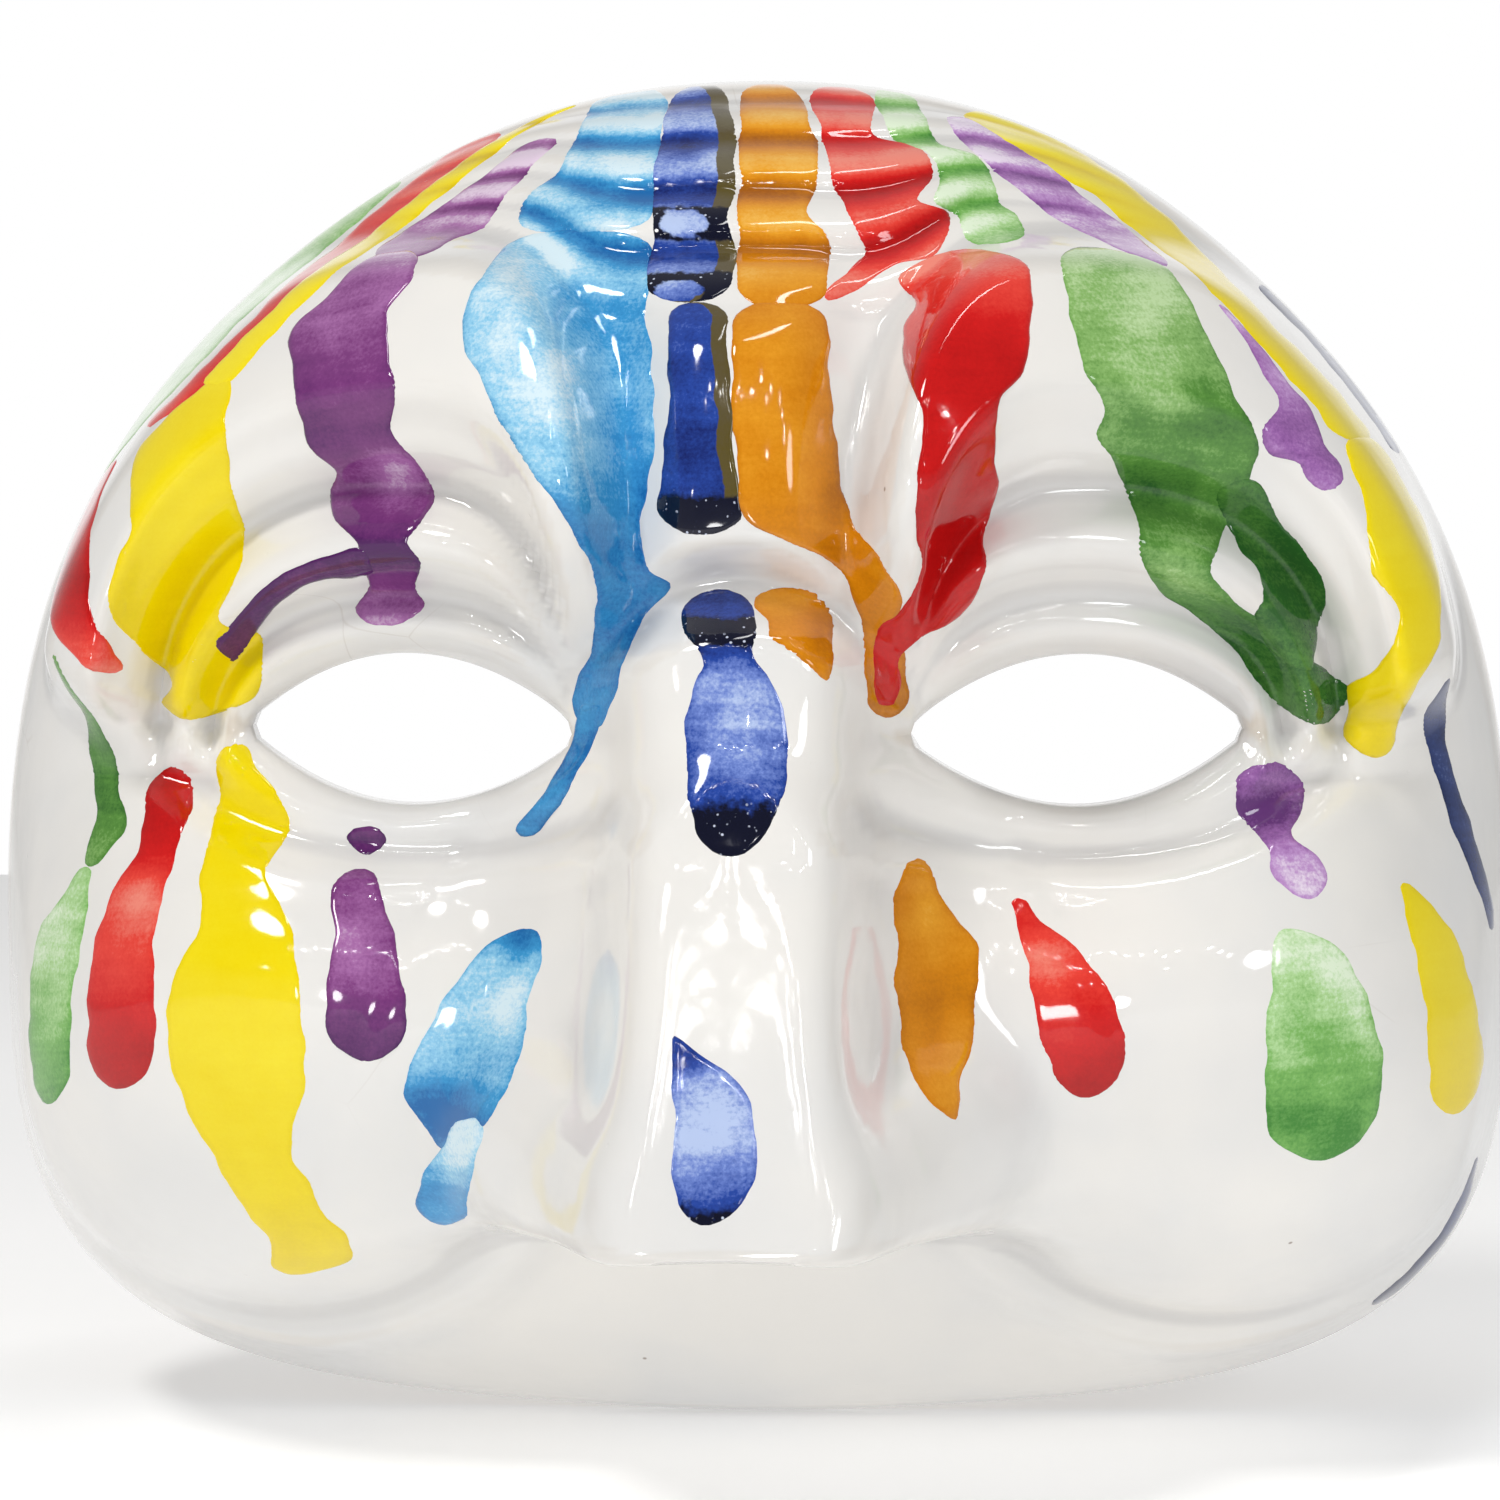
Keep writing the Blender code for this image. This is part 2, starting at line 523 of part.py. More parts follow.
def make_stroke(name, colour, knots, shell_tree, shell_points):
    """One run of coloured glaze: a thin raised layer that follows the face."""
    paint = material("glaze_" + colour, colour, 0.07)
    folded = name.endswith(("forehead", "brow"))
    rows = smooth_path(knots, ROW_STEP_FOLDED if folded else ROW_STEP)
    count = len(rows)
    way = np.gradient(rows[:, :2], axis=0)
    way = way / np.linalg.norm(way, axis=1, keepdims=True)
    taper = np.ones(count)
    taper[0] = taper[-1] = 0.42
    taper[1] = taper[-2] = 0.86
    shares = np.array([-1.0, -0.5, 0.0, 0.5, 1.0] if name.endswith("brow") else [-1.0, -0.45, 0.45, 1.0])
    half = (rows[:, 2] * taper)[:, None] * shares[None, :]
    x = rows[:, 0][:, None] + half * way[:, 1][:, None]
    z = rows[:, 1][:, None] - half * way[:, 0][:, None]
    points = np.stack([x, depth_on(shell_tree, x, z), z], axis=-1)
    normals = surface_normals(x, z)
    lift = lift_clear(points, normals, np.full(x.shape, GLAZE_GAP), shell_tree, shell_points)
    thick = np.full(x.shape, GLAZE_THICK)
    thick[:, 0] = thick[:, -1] = GLAZE_EDGE
    thick[0, :] = thick[-1, :] = GLAZE_EDGE
    under = points + normals * lift[..., None]
    over = under + normals * thick[..., None]
    columns = len(shares)
    vertices = [tuple(point) for point in under.reshape(-1, 3)] + [tuple(point) for point in over.reshape(-1, 3)]
    top = count * columns
    faces = []
    for j in range(count - 1):
        for i in range(columns - 1):
            k = j * columns + i
            a, b, c, d = k, k + 1, k + columns + 1, k + columns
            faces += [(a, b, c), (a, c, d), (top + a, top + c, top + b), (top + a, top + d, top + c)]
    edge = [i for i in range(columns)] + [j * columns + columns - 1 for j in range(1, count)]
    edge += [(count - 1) * columns + i for i in range(columns - 2, -1, -1)]
    edge += [j * columns for j in range(count - 2, 0, -1)]
    for n, k in enumerate(edge):
        after = edge[(n + 1) % len(edge)]
        faces.append((k, top + k, top + after))
        faces.append((k, top + after, after))
    return object_from("glaze_" + name, vertices, faces, paint)


def make_lug():
    """A clay lug under the roof of the forehead, with a hole from side to side for the ring."""
    paint = material("bare_clay", "clay", 0.85)
    count = 20
    outline = []
    for k in range(count + 1):
        turn = math.pi * k / count
        outline.append((LUG_DEPTH + LUG_RADIUS * math.cos(turn), LUG_HOLE_Z - LUG_RADIUS * math.sin(turn)))
    outline += [(LUG_DEPTH - LUG_RADIUS, RIM_TOP + 4.0), (LUG_DEPTH + LUG_RADIUS, RIM_TOP + 4.0)]
    lug = prism_along_x("hanging_lug", outline, LUG_HALF_WIDTH, paint)
    hole = []
    for k in range(24):
        turn = 2.0 * math.pi * k / 24
        hole.append((LUG_DEPTH + LUG_HOLE_RADIUS * math.cos(turn), LUG_HOLE_Z + LUG_HOLE_RADIUS * math.sin(turn)))
    apply_boolean(lug, prism_along_x("lug_hole", hole, LUG_HALF_WIDTH + 3.0, paint), "DIFFERENCE")

    def hollow(x, z):
        return inner_depth_at(x, z, WALL + 0.5)

    roof = dome("roof", spread(27, 0.4), spread(25, 0.4), WALL + 0.6, hollow, -HOLLOW_LIP, -6.0, paint)
    apply_boolean(lug, roof, "INTERSECT")
    return lug


def prism_along_x(name, outline, half_width, paint):
    points = []
    for x in (-half_width, half_width):
        points += [(x, depth, z) for depth, z in outline]
    n = len(outline)
    faces = [tuple(range(n)), tuple(range(2 * n - 1, n - 1, -1))]
    faces += [(k, n + k, n + (k + 1) % n, (k + 1) % n) for k in range(n)]
    return object_from(name, points, faces, paint)


def make_ring():
    """The steel wire ring, hanging from the lug in the plane of the wall."""
    paint = material("steel_wire", "steel", 0.3, 1.0)
    around = 36
    wire = 10
    points = []
    for k in range(around):
        turn = 2.0 * math.pi * k / around
        for n in range(wire):
            roll = 2.0 * math.pi * n / wire
            reach = RING_RADIUS + RING_WIRE * math.cos(roll)
            points.append((
                reach * math.cos(turn),
                LUG_DEPTH + RING_WIRE * math.sin(roll),
                LUG_HOLE_Z - RING_RADIUS + reach * math.sin(turn),
            ))
    faces = []
    for k in range(around):
        for n in range(wire):
            a = k * wire + n
            b = k * wire + (n + 1) % wire
            c = ((k + 1) % around) * wire + (n + 1) % wire
            d = ((k + 1) % around) * wire + n
            faces.append((a, b, c, d))
    return object_from("hanging_ring", points, faces, paint)


def main():
    clear_scene()
    shell = make_shell()
    bpy.context.view_layer.update()
    tree = BVHTree.FromObject(shell, bpy.context.evaluated_depsgraph_get())
    corners = np.array([(v.co.x / MM, -v.co.y / MM, v.co.z / MM + ORIGIN_Z) for v in shell.data.vertices])
    for name, colour, knots in STROKES:
        make_stroke(name, colour, knots, tree, corners)
    make_lug()
    make_ring()


main()
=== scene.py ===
"""Glazed ceramic carnival half mask: the finished look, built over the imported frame.

The face is a relief over the wall plane, in millimetres: x to the side, z up from the line through the
eyes, depth forward of the wall.  The fine shell and every stroke of coloured glaze are made from it.
"""

import math

import bmesh
import bpy
import numpy as np
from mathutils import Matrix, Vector
from mathutils.bvhtree import BVHTree

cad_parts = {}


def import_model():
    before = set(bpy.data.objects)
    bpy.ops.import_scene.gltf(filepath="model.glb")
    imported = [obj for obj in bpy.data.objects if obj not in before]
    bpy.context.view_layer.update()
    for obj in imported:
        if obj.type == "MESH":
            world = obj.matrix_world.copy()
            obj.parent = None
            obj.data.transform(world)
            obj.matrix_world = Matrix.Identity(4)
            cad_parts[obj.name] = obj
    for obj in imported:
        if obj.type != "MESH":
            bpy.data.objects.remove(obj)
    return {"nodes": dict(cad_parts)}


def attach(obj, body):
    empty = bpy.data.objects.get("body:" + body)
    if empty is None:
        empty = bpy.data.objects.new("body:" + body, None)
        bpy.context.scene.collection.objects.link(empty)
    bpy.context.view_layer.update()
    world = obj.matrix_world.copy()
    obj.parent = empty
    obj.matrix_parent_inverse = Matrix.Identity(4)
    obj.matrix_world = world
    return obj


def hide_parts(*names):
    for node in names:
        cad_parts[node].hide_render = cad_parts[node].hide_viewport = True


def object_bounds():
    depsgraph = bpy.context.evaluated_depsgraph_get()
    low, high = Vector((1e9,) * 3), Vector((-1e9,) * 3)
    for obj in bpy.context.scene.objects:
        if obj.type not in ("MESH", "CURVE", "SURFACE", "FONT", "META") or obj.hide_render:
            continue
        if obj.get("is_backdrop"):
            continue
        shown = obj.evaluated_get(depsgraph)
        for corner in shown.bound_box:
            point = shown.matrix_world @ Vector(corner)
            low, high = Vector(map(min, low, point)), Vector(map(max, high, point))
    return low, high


MM = 0.001

# ---- sizes of the face, millimetres
RIM_TOP = 72.0
RIM_CENTRE_Z = -25.0
RIM_HALF_WIDTH = 87.0
RIM_DROP = 56.0
RIM_ROUND_TOP = 2.2
RIM_ROUND_FOOT = 3.4
CHIN_SWELL = 1.3
SHOULDER_LEFT = 0.032
SHOULDER_RIGHT = 0.022

WALL = 4.4
ORIGIN_Z = RIM_TOP - 0.5 * WALL

EYE_X = 35.5
EYE_HALF_WIDTH = 17.8
EYE_UPPER = 8.2
EYE_LOWER = 8.0
EYE_BLUNT = 0.9
EYE_EDGE_ROUND = 1.3
EYE_BACK_ROUND = 0.8
EYE_SPREAD = 40.0

BROW_HEIGHT = 13.0
NOSE_TOP = 14.0
NOSE_TIP = -48.0
FURROWS = 5
FURROW_DEPTH = 2.6

# ---- the fine shell: its grid, the openness below which an eye hole is shut, small distances
# (SLIVER in metres, the others in millimetres), and the slots of its three materials
COLUMNS = 261
ROWS = 118
EYE_ROWS = (0.0, 0.0016, 0.0040, 0.0075, 0.0125, 0.0190)
EYE_SHUT = 1e-4
NEAR = 1e-3
SLIVER = 1e-7
WEAR_REACH = 2.2
GLAZED = 0
HOLLOW = 1
BARE = 2

# ---- coloured glaze: its size, its rounded ends and its uneven sides
GLAZE_REACH = 0.75
RIM_CLEAR = 0.9
GLAZE_CELL = 0.55
GLAZE_THICK = 0.10
GLAZE_SUNK = -0.04
GLAZE_ROUND = 0.32
GLAZE_UNDER = 0.30
END_SHARE = 0.42
END_MOST = 2.4
WOBBLE_SHARE = 0.035
WOBBLE_MOST = 0.16
LEFT_SEED = 11
RIGHT_SEED = 400
SEED_STEP = 7
BRUSH_APART = 9.7
SLOPE_REACH = 0.5
STEEPEST = 2.6

# ---- the ring, hung in the lug
LUG_DEPTH = 8.5
LUG_HOLE_Z = 52.0
RING_RADIUS = 7.2
RING_WIRE = 0.8
RING_STEPS = 96
WIRE_STEPS = 20

# ---- camera and studio, metres and degrees
CAMERA_TARGET = (0.0, -0.02, -0.0733)
CAMERA_DISTANCE = 0.46
CAMERA_AZIMUTH = 2.0
CAMERA_ELEVATION = 4.0
CAMERA_LENS = 99.35
FLOOR_HALF = 0.62
LIGHTS_TOWARD = (0.0, -0.03, -0.07)
LAMP_SIZE = 0.014

# ---- colours of the white glaze and of what shows in it
WHITE_WARM = (0.80, 0.78, 0.745)
WHITE_COOL = (0.73, 0.725, 0.715)
CLAY_SHOWING = (0.62, 0.55, 0.46)
# grey painted into the creases of the white glaze as shade
PAINTED_CREASE_GREY = (0.56, 0.55, 0.545)
CRAZE_BROWN = (0.50, 0.45, 0.40)
SPECK_BROWN = (0.16, 0.10, 0.06)

# ---- tones of each glaze, linear colours: thin, light, middle, deep
TONES = {
    "red": ((0.82, 0.24, 0.18), (0.76, 0.055, 0.038), (0.60, 0.009, 0.009), (0.33, 0.003, 0.004)),
    "yellow": ((0.90, 0.80, 0.25), (0.88, 0.74, 0.02), (0.82, 0.64, 0.0), (0.62, 0.44, 0.0)),
    "purple": ((0.72, 0.58, 0.72), (0.38, 0.15, 0.38), (0.19, 0.042, 0.19), (0.070, 0.010, 0.095)),
    "lilac": ((0.78, 0.68, 0.81), (0.50, 0.29, 0.58), (0.32, 0.13, 0.39), (0.12, 0.035, 0.17)),
    "sky": ((0.64, 0.79, 0.86), (0.27, 0.57, 0.78), (0.045, 0.30, 0.60), (0.010, 0.13, 0.38)),
    "cobalt": ((0.45, 0.55, 0.80), (0.16, 0.24, 0.60), (0.020, 0.060, 0.33), (0.006, 0.014, 0.11)),
    "amber": ((0.84, 0.50, 0.11), (0.76, 0.33, 0.020), (0.62, 0.215, 0.004), (0.33, 0.095, 0.003)),
    "green": ((0.50, 0.68, 0.36), (0.25, 0.46, 0.14), (0.095, 0.26, 0.045), (0.022, 0.105, 0.018)),
    "leaf": ((0.72, 0.84, 0.64), (0.42, 0.66, 0.30), (0.18, 0.44, 0.095), (0.040, 0.22, 0.022)),
    "navy": ((0.40, 0.45, 0.62), (0.13, 0.18, 0.38), (0.022, 0.045, 0.17), (0.008, 0.016, 0.07)),
}
TONE_STOPS = (0.0, 0.26, 0.56, 1.0)
SOOT = (0.004, 0.005, 0.018)
# pale specks painted as glints in the black of the burnt cobalt
PAINTED_GLINT = (0.55, 0.60, 0.72)
OLIVE = (0.105, 0.078, 0.008)

# ---- how uneven each colour is, and how much deeper the line round its edge
UNEVEN = {"yellow": 0.22, "red": 0.34, "amber": 0.40, "purple": 0.45}
UNEVEN_OTHERS = 0.72
EDGE_LINE = {"yellow": 0.10, "red": 0.06}
EDGE_LINE_OTHERS = 0.14

# ---- strokes, painted in this order: name, colour, tones from top to foot of the run (0 thin, 1 deep),
# and rows of the outline (left x, left z, right x, right z)
STROKES = [
    ("green_left_forehead", "leaf", (0.35, 0.3, 0.3, 0.35), [
        (-42, 61.5, -39, 60), (-49.5, 55, -46, 53.4), (-57, 48, -52.4, 46.4), (-63.6, 41.2, -57.2, 41),
        (-68.8, 34.8, -62.2, 36), (-72.4, 29.8, -67.5, 31.5), (-74.2, 26.6, -71.6, 28)]),
    ("green_left_temple", "green", (0.3, 0.55, 0.6, 0.65, 0.45), [
        (-74.6, 8, -73.9, 8.2), (-73.4, 4, -72.2, 4.2), (-72.2, 0.4, -70.4, 0.6), (-72.2, -3, -68.8, -3),
        (-71.3, -6.8, -67.9, -6.8), (-71.1, -10.4, -66.6, -10.4), (-71.8, -13.6, -68.6, -13.4),
        (-72, -15.6, -70.2, -15.4)]),
    ("green_left_cheek", "leaf", (0.35, 0.2, 0.25, 0.6, 0.75, 0.7), [
        (-72.4, -15.2, -70.6, -15.2), (-74.2, -18, -70.8, -18), (-77, -21.4, -71.1, -21.4),
        (-78.8, -25.6, -71.8, -25.2), (-79.3, -31, -72.4, -29.6), (-79.3, -36, -72.8, -34.4),
        (-79, -40, -73.4, -38.4), (-78, -42.6, -75.2, -41.6)]),
    ("red_left_forehead", "red", (0.2, 0.3, 0.45, 0.5, 0.4, 0.3), [
        (-33, 65, -27.3, 66.2), (-38, 60.4, -31.4, 61.3), (-43.2, 55.5, -37, 55.8),
        (-48.5, 49.8, -42.2, 50), (-52.4, 44.8, -47.8, 44.8), (-56.8, 40.2, -53, 39.8),
        (-61.2, 36, -59, 35), (-65.5, 32.6, -64.6, 31.8)]),
    ("red_left_brow", "red", (0.5, 0.55, 0.6, 0.8, 0.75, 0.25, 0.1), [
        (-70.8, 28.6, -69.2, 29), (-73.4, 25.2, -69.8, 25.2), (-75.4, 21.6, -70.1, 21.6),
        (-76.5, 18, -69.8, 18), (-76.4, 14.6, -69.4, 14.8), (-75, 11.2, -68.4, 11), (-72, 8.2, -67, 8.4),
        (-68.9, 5.9, -65.8, 5.9)]),
    ("red_left_cheek", "red", (0.75, 0.8, 0.6, 0.2, 0.3, 0.55, 0.7, 0.8), [
        (-63.2, -4.4, -60.6, -4.4), (-64.9, -7, -59.4, -6.8), (-64.8, -10.4, -59.4, -10),
        (-65.2, -13.2, -60.4, -12.8), (-67.4, -16.6, -61.2, -16), (-69.4, -21, -61.9, -20),
        (-70.3, -26, -62, -25), (-70.5, -31, -61.9, -30), (-70.6, -35.6, -62.2, -34.6),
        (-69, -39.2, -64, -38)]),
    ("yellow_left_forehead", "yellow", (0.3, 0.6, 0.4, 0.3, 0.35), [
        (-22.6, 68, -19, 69), (-27.6, 65.2, -24.5, 66), (-32.6, 61.6, -29.5, 61.5),
        (-38.2, 57, -35.2, 56.5), (-43.2, 52.4, -40.6, 51.4), (-48.6, 46.8, -46.6, 45.2),
        (-54.6, 40.8, -52, 39.4), (-58.6, 36.4, -54.8, 36)]),
    ("yellow_left_brow", "yellow", (0.45, 0.5, 0.5, 0.6, 0.6, 0.55), [
        (-56.5, 37.6, -54.2, 37.6), (-61.5, 33.6, -54.1, 33.5), (-64.8, 30.2, -54, 30),
        (-65.6, 26.5, -53.8, 26.5), (-65, 21.6, -53.5, 21.6), (-66.4, 17.6, -53, 18),
        (-67.5, 13.4, -54.6, 14.2), (-66, 10, -55.5, 11.5), (-63.8, 7.2, -52, 9.8),
        (-61.8, 4.6, -51.2, 6.8), (-63.3, 2.4, -52.6, 3.2), (-62, 0.4, -57, 0.9)]),
    ("yellow_left_cheek", "yellow", (0.5, 0.55, 0.5, 0.45, 0.5, 0.6, 0.65), [
        (-56.4, -1.6, -53, -1.6), (-57, -3.6, -52.6, -3.6), (-56.6, -7, -49.4, -7),
        (-56.8, -11, -48.5, -11), (-57.8, -15, -50.2, -15), (-57.2, -18, -48, -18),
        (-57.4, -21.4, -46.6, -21.4), (-59.8, -25, -45.9, -25.4), (-60.7, -29.4, -45.3, -29.8),
        (-60.6, -33.4, -45.2, -33.6), (-60, -37, -45.7, -37.4), (-58.8, -40.8, -46.8, -41),
        (-56.8, -44.4, -47.4, -44.4), (-55.2, -48.2, -46, -48.2), (-53.8, -52, -44.6, -52),
        (-51.6, -55.8, -42.3, -55.4), (-52, -58.6, -43, -58.2), (-51.8, -61, -47.6, -60.6)]),
    ("purple_left_forehead", "purple", (0.05, 0.25, 0.35, 0.4), [
        (-25, 64, -20.5, 64.5), (-29, 60, -23.5, 60.5), (-33.5, 56.8, -26.5, 56.6),
        (-37, 54.2, -28.4, 53.6), (-39.2, 52.4, -31.6, 51.8), (-41, 49.8, -33.6, 49.4)]),
    ("purple_left_brow", "purple", (0.15, 0.4, 0.45, 0.6, 0.65, 0.85, 0.4, 0.5, 0.95, 0.5, 0.15), [
        (-40.5, 50.8, -34.2, 51.3), (-43.5, 46.5, -34.2, 48), (-48, 41.5, -36.6, 43.5),
        (-46.8, 37, -36, 39), (-46, 33, -35.2, 35), (-45, 29.8, -35.8, 31.2), (-43, 27.6, -33.6, 28.6),
        (-43.6, 24.8, -32.1, 24.6), (-42.4, 22.2, -33, 22), (-40, 20, -34.3, 20), (-39.7, 17.8, -33, 17.8),
        (-39.4, 15.5, -34.3, 15.3), (-41.2, 13.2, -33.6, 13.4), (-40.8, 11, -34.6, 11)]),
    ("purple_left_arm", "purple", (0.85, 0.9, 0.9, 0.95, 0.95), [
        (-38.5, 19.6, -37.8, 16.4), (-41.5, 19.3, -40.6, 16.2), (-45.2, 18.1, -43.6, 16.1),
        (-49.3, 16.2, -47.2, 14.9), (-52, 13.8, -49.8, 12.8), (-54.6, 11.4, -52.4, 10), (-57, 9, -55, 6)]),
    ("purple_left_lid", "purple", (0.7, 0.9, 0.85), [
        (-42, -9.9, -37.9, -9.9), (-42.2, -11.6, -37.8, -11.6), (-41.2, -13.2, -38.6, -13.2)]),
    ("purple_left_cheek", "purple", (0.55, 0.5, 0.4, 0.45, 0.6, 0.8, 0.9), [
        (-42.4, -14.3, -38.4, -14.3), (-43, -16.4, -38, -16.4), (-42.7, -20, -36.6, -20),
        (-42.8, -24, -35.3, -24), (-43.1, -28, -34.6, -28), (-42.8, -31.4, -34.8, -31.2),
        (-41, -34, -37, -34)]),
    ("sky_left_forehead", "sky", (0.1, 0.3, 0.35, 0.45, 0.4), [
        (-17.5, 70.6, -9.2, 70.8), (-18.6, 67, -9.4, 67), (-19.6, 63.5, -9.4, 63.5), (-20.5, 60, -9.5, 60),
        (-24, 57, -9.5, 57.2), (-24.8, 54, -9.6, 54.2), (-26, 52.6, -9.7, 52.4)]),
    ("sky_left_brow", "sky", (0.35, 0.3, 0.35, 0.3, 0.3, 0.4, 0.65, 0.75, 0.8, 0.7, 0.65, 0.6), [
        (-25.6, 53.2, -9.6, 53.2), (-26.8, 47.6, -9.8, 47.5), (-28.2, 44.8, -10, 43.5), (-28, 40, -9, 40),
        (-26.3, 36.8, -8.8, 36.5), (-24, 32.8, -8.7, 32.5), (-21.6, 28.8, -8.8, 28.3),
        (-18.7, 25, -9.6, 24), (-16.4, 21.3, -10, 20.5), (-15, 18.2, -9.2, 17.4), (-14.8, 15.2, -7.2, 15.9),
        (-14.9, 12.2, -9.6, 12.5), (-15.6, 8.7, -11.2, 9.4), (-17.2, 5.6, -12.3, 6.3),
        (-17.8, 2.6, -13.4, 3), (-16.8, 0.6, -14.2, 0.6)]),
    ("sky_left_tear", "sky", (0.7, 0.7, 0.65, 0.75), [
        (-17.3, 3.6, -13.6, 3.8), (-17.5, 0.2, -14.8, 0.4), (-18.9, -3, -16.4, -3),
        (-20.6, -6, -18.1, -6.2), (-23, -8.8, -19.9, -8.7), (-24.4, -10.7, -22.3, -11.3)]),
    ("sky_left_cheek", "sky", (0.55, 0.3, 0.25, 0.22, 0.35, 0.8, 0.8), [
        (-24.4, -20.2, -20.2, -19.6), (-27.4, -22.6, -20.3, -22.4), (-30, -26.2, -21.2, -25.8),
        (-32.3, -30, -21.8, -29.6), (-34.4, -34, -22.4, -33.2), (-35.2, -36.6, -24, -36.6),
        (-34.4, -39, -25.7, -39.6), (-32.7, -41.6, -28.2, -41.6), (-31.8, -43.4, -30.2, -43.4)]),
    ("sky_left_drip", "sky", (0.1, 0.2, 0.5, 0.75), [
        (-29.8, -39.6, -26, -38), (-31, -42.6, -26.2, -40.8), (-32.8, -45.4, -27.2, -44.4),
        (-34.4, -48.6, -28.2, -48.2), (-34.8, -51, -29.2, -51.2), (-33.4, -53, -31, -53.1)]),
    ("cobalt_forehead", "cobalt", (0.3, 0.4, 0.5, 0.55, 0.5, 0.55), [
        (-8.8, 71, -3, 71.2), (-9.6, 66, -1.8, 66.2), (-9.8, 62, -1.2, 62), (-10.4, 58, -1, 58),
        (-9.9, 54, -1.4, 54), (-9.9, 50.5, -0.8, 50.5), (-10.4, 47, -0.8, 47), (-10, 44.9, -1, 44.7)]),
    ("cobalt_glabella", "cobalt", (0.6, 0.62, 0.6, 0.7, 0.85, 0.95), [
        (-7.8, 45.2, -1.2, 45), (-7.4, 40, -1, 40), (-7.3, 36, -0.7, 36), (-7.6, 31, -0.4, 31),
        (-7.9, 26.5, 0.2, 26.5), (-8, 22.6, 0.5, 22.8), (-6.6, 20.5, -0.2, 21.2)]),
    ("cobalt_nose_drop", "cobalt", (0.7, 0.85, 0.75, 0.25, 0.3, 0.4, 0.6, 0.8, 0.95), [
        (-4.9, 15.6, 1.6, 15.3), (-5.8, 13.2, 2.1, 13.2), (-5.6, 10.8, 2, 10.9), (-4, 9.4, 1.6, 9.6),
        (-3.4, 8.2, 1.8, 8.6), (-4.2, 6.6, 3.6, 6.6), (-5, 3.4, 5, 3.2), (-5.1, 0, 5.5, -0.4),
        (-5, -3.2, 5.2, -3.4), (-4.6, -6.2, 4.4, -6.6), (-3.9, -8.8, 3.2, -9.2),
        (-2.6, -10.9, 1.6, -11.1)]),
    ("cobalt_nose_tip", "cobalt", (0.55, 0.35, 0.15, 0.2, 0.5, 0.8), [
        (-5.8, -27.4, -5.2, -27.6), (-5.7, -29.6, -2.6, -29.5), (-5.6, -32.4, 1, -31.6),
        (-5.5, -35.4, 2.5, -35), (-5.4, -38.4, 2.9, -38.4), (-5.2, -41.4, 2.4, -41.4),
        (-4.3, -43.8, 0.9, -43.8), (-3.2, -44.9, -1, -44.9)]),
    ("amber_forehead", "amber", (0.45, 0.5, 0.5, 0.55, 0.5), [
        (-1.4, 71.2, 4.8, 71.2), (-1.3, 66.5, 6.4, 66.5), (-0.9, 62, 7.7, 62), (-0.8, 58.5, 8, 58.5),
        (-1, 55, 6.8, 55), (-0.7, 52.6, 8.6, 52.6), (-0.6, 48.5, 9.2, 48.4), (-0.7, 44.2, 9, 44.2)]),
    ("amber_glabella", "amber", (0.5, 0.45, 0.5, 0.55, 0.6, 0.65, 0.6), [
        (-0.9, 45.2, 9, 45.2), (-0.8, 38, 9.3, 38), (-0.5, 32, 10, 32), (0, 27, 10.4, 27),
        (0.5, 22.8, 11.6, 22.6), (5.2, 20.4, 13.6, 20), (8.6, 18.7, 15.3, 17.5), (10.8, 16.8, 16.6, 15),
        (11.9, 13.5, 16.6, 12.6), (12.8, 10.6, 17, 10), (13.1, 6, 17.4, 6), (13.3, 3.2, 17.2, 3),
        (14.2, 1.9, 16.6, 1.8)]),
    ("amber_nose", "amber", (0.5, 0.5, 0.6, 0.5), [
        (1, 14.6, 4.5, 16), (1.6, 13.6, 7.6, 15.2), (2.8, 12.2, 9.4, 13.2), (3.2, 10.8, 9.9, 11.2),
        (5.2, 9.4, 9.9, 9), (7.4, 7.6, 9.7, 7.4), (8.8, 6.2, 9.4, 6)]),
    ("amber_cheek", "amber", (0.5, 0.6, 0.5, 0.55, 0.65, 0.5, 0.45, 0.5), [
        (17.2, -12.4, 19.2, -12.4), (16.2, -15.4, 20.6, -15.4), (16, -18.6, 22.4, -18.6),
        (16.4, -21.4, 25, -21.6), (15.8, -24.8, 24.7, -24.6), (16.6, -28, 24.6, -28),
        (17.2, -31.6, 24.2, -31.6), (18.4, -34.4, 23, -34.4), (20.6, -36.8, 22.7, -36.6),
        (22.2, -38.2, 22.6, -38)]),
    ("red_right_forehead", "red", (0.2, 0.35, 0.3, 0.5, 0.55, 0.5, 0.35, 0.15), [
        (5.8, 70.8, 12.6, 70.8), (6.8, 67.4, 13.8, 67.6), (7.6, 64.6, 14, 64), (8.2, 62.2, 18.6, 62.6),
        (9, 59.2, 20.2, 59.4), (10, 56.6, 18.4, 56.4), (11, 54.4, 22, 55), (12, 52, 21.8, 52.6),
        (12.6, 50.6, 20.4, 50.4), (11, 48.4, 16.2, 49.2), (8.8, 46.2, 11.4, 46), (8.4, 45.2, 9.4, 45)]),
    ("red_right_brow", "red", (0.2, 0.4, 0.65, 0.72, 0.75, 0.8, 0.72, 0.7, 0.65, 0.7), [
        (19.5, 50.6, 26, 51.2), (16.4, 47.8, 29.6, 49), (18, 45.2, 30.1, 45.6), (16.7, 42, 29.9, 41.5),
        (16.8, 38.4, 28.8, 37.5), (18.4, 34.8, 26.9, 34.8), (18.5, 29.8, 26.3, 29.8), (18.1, 25, 26.5, 26),
        (18.3, 21, 25.4, 21), (18.4, 17, 25.3, 17), (17.2, 13.8, 23.8, 13.6), (14.2, 11.2, 18.6, 10),
        (13.6, 8.4, 16.6, 8), (13.7, 5.4, 16.7, 5), (14.4, 2.9, 15.9, 2.8)]),
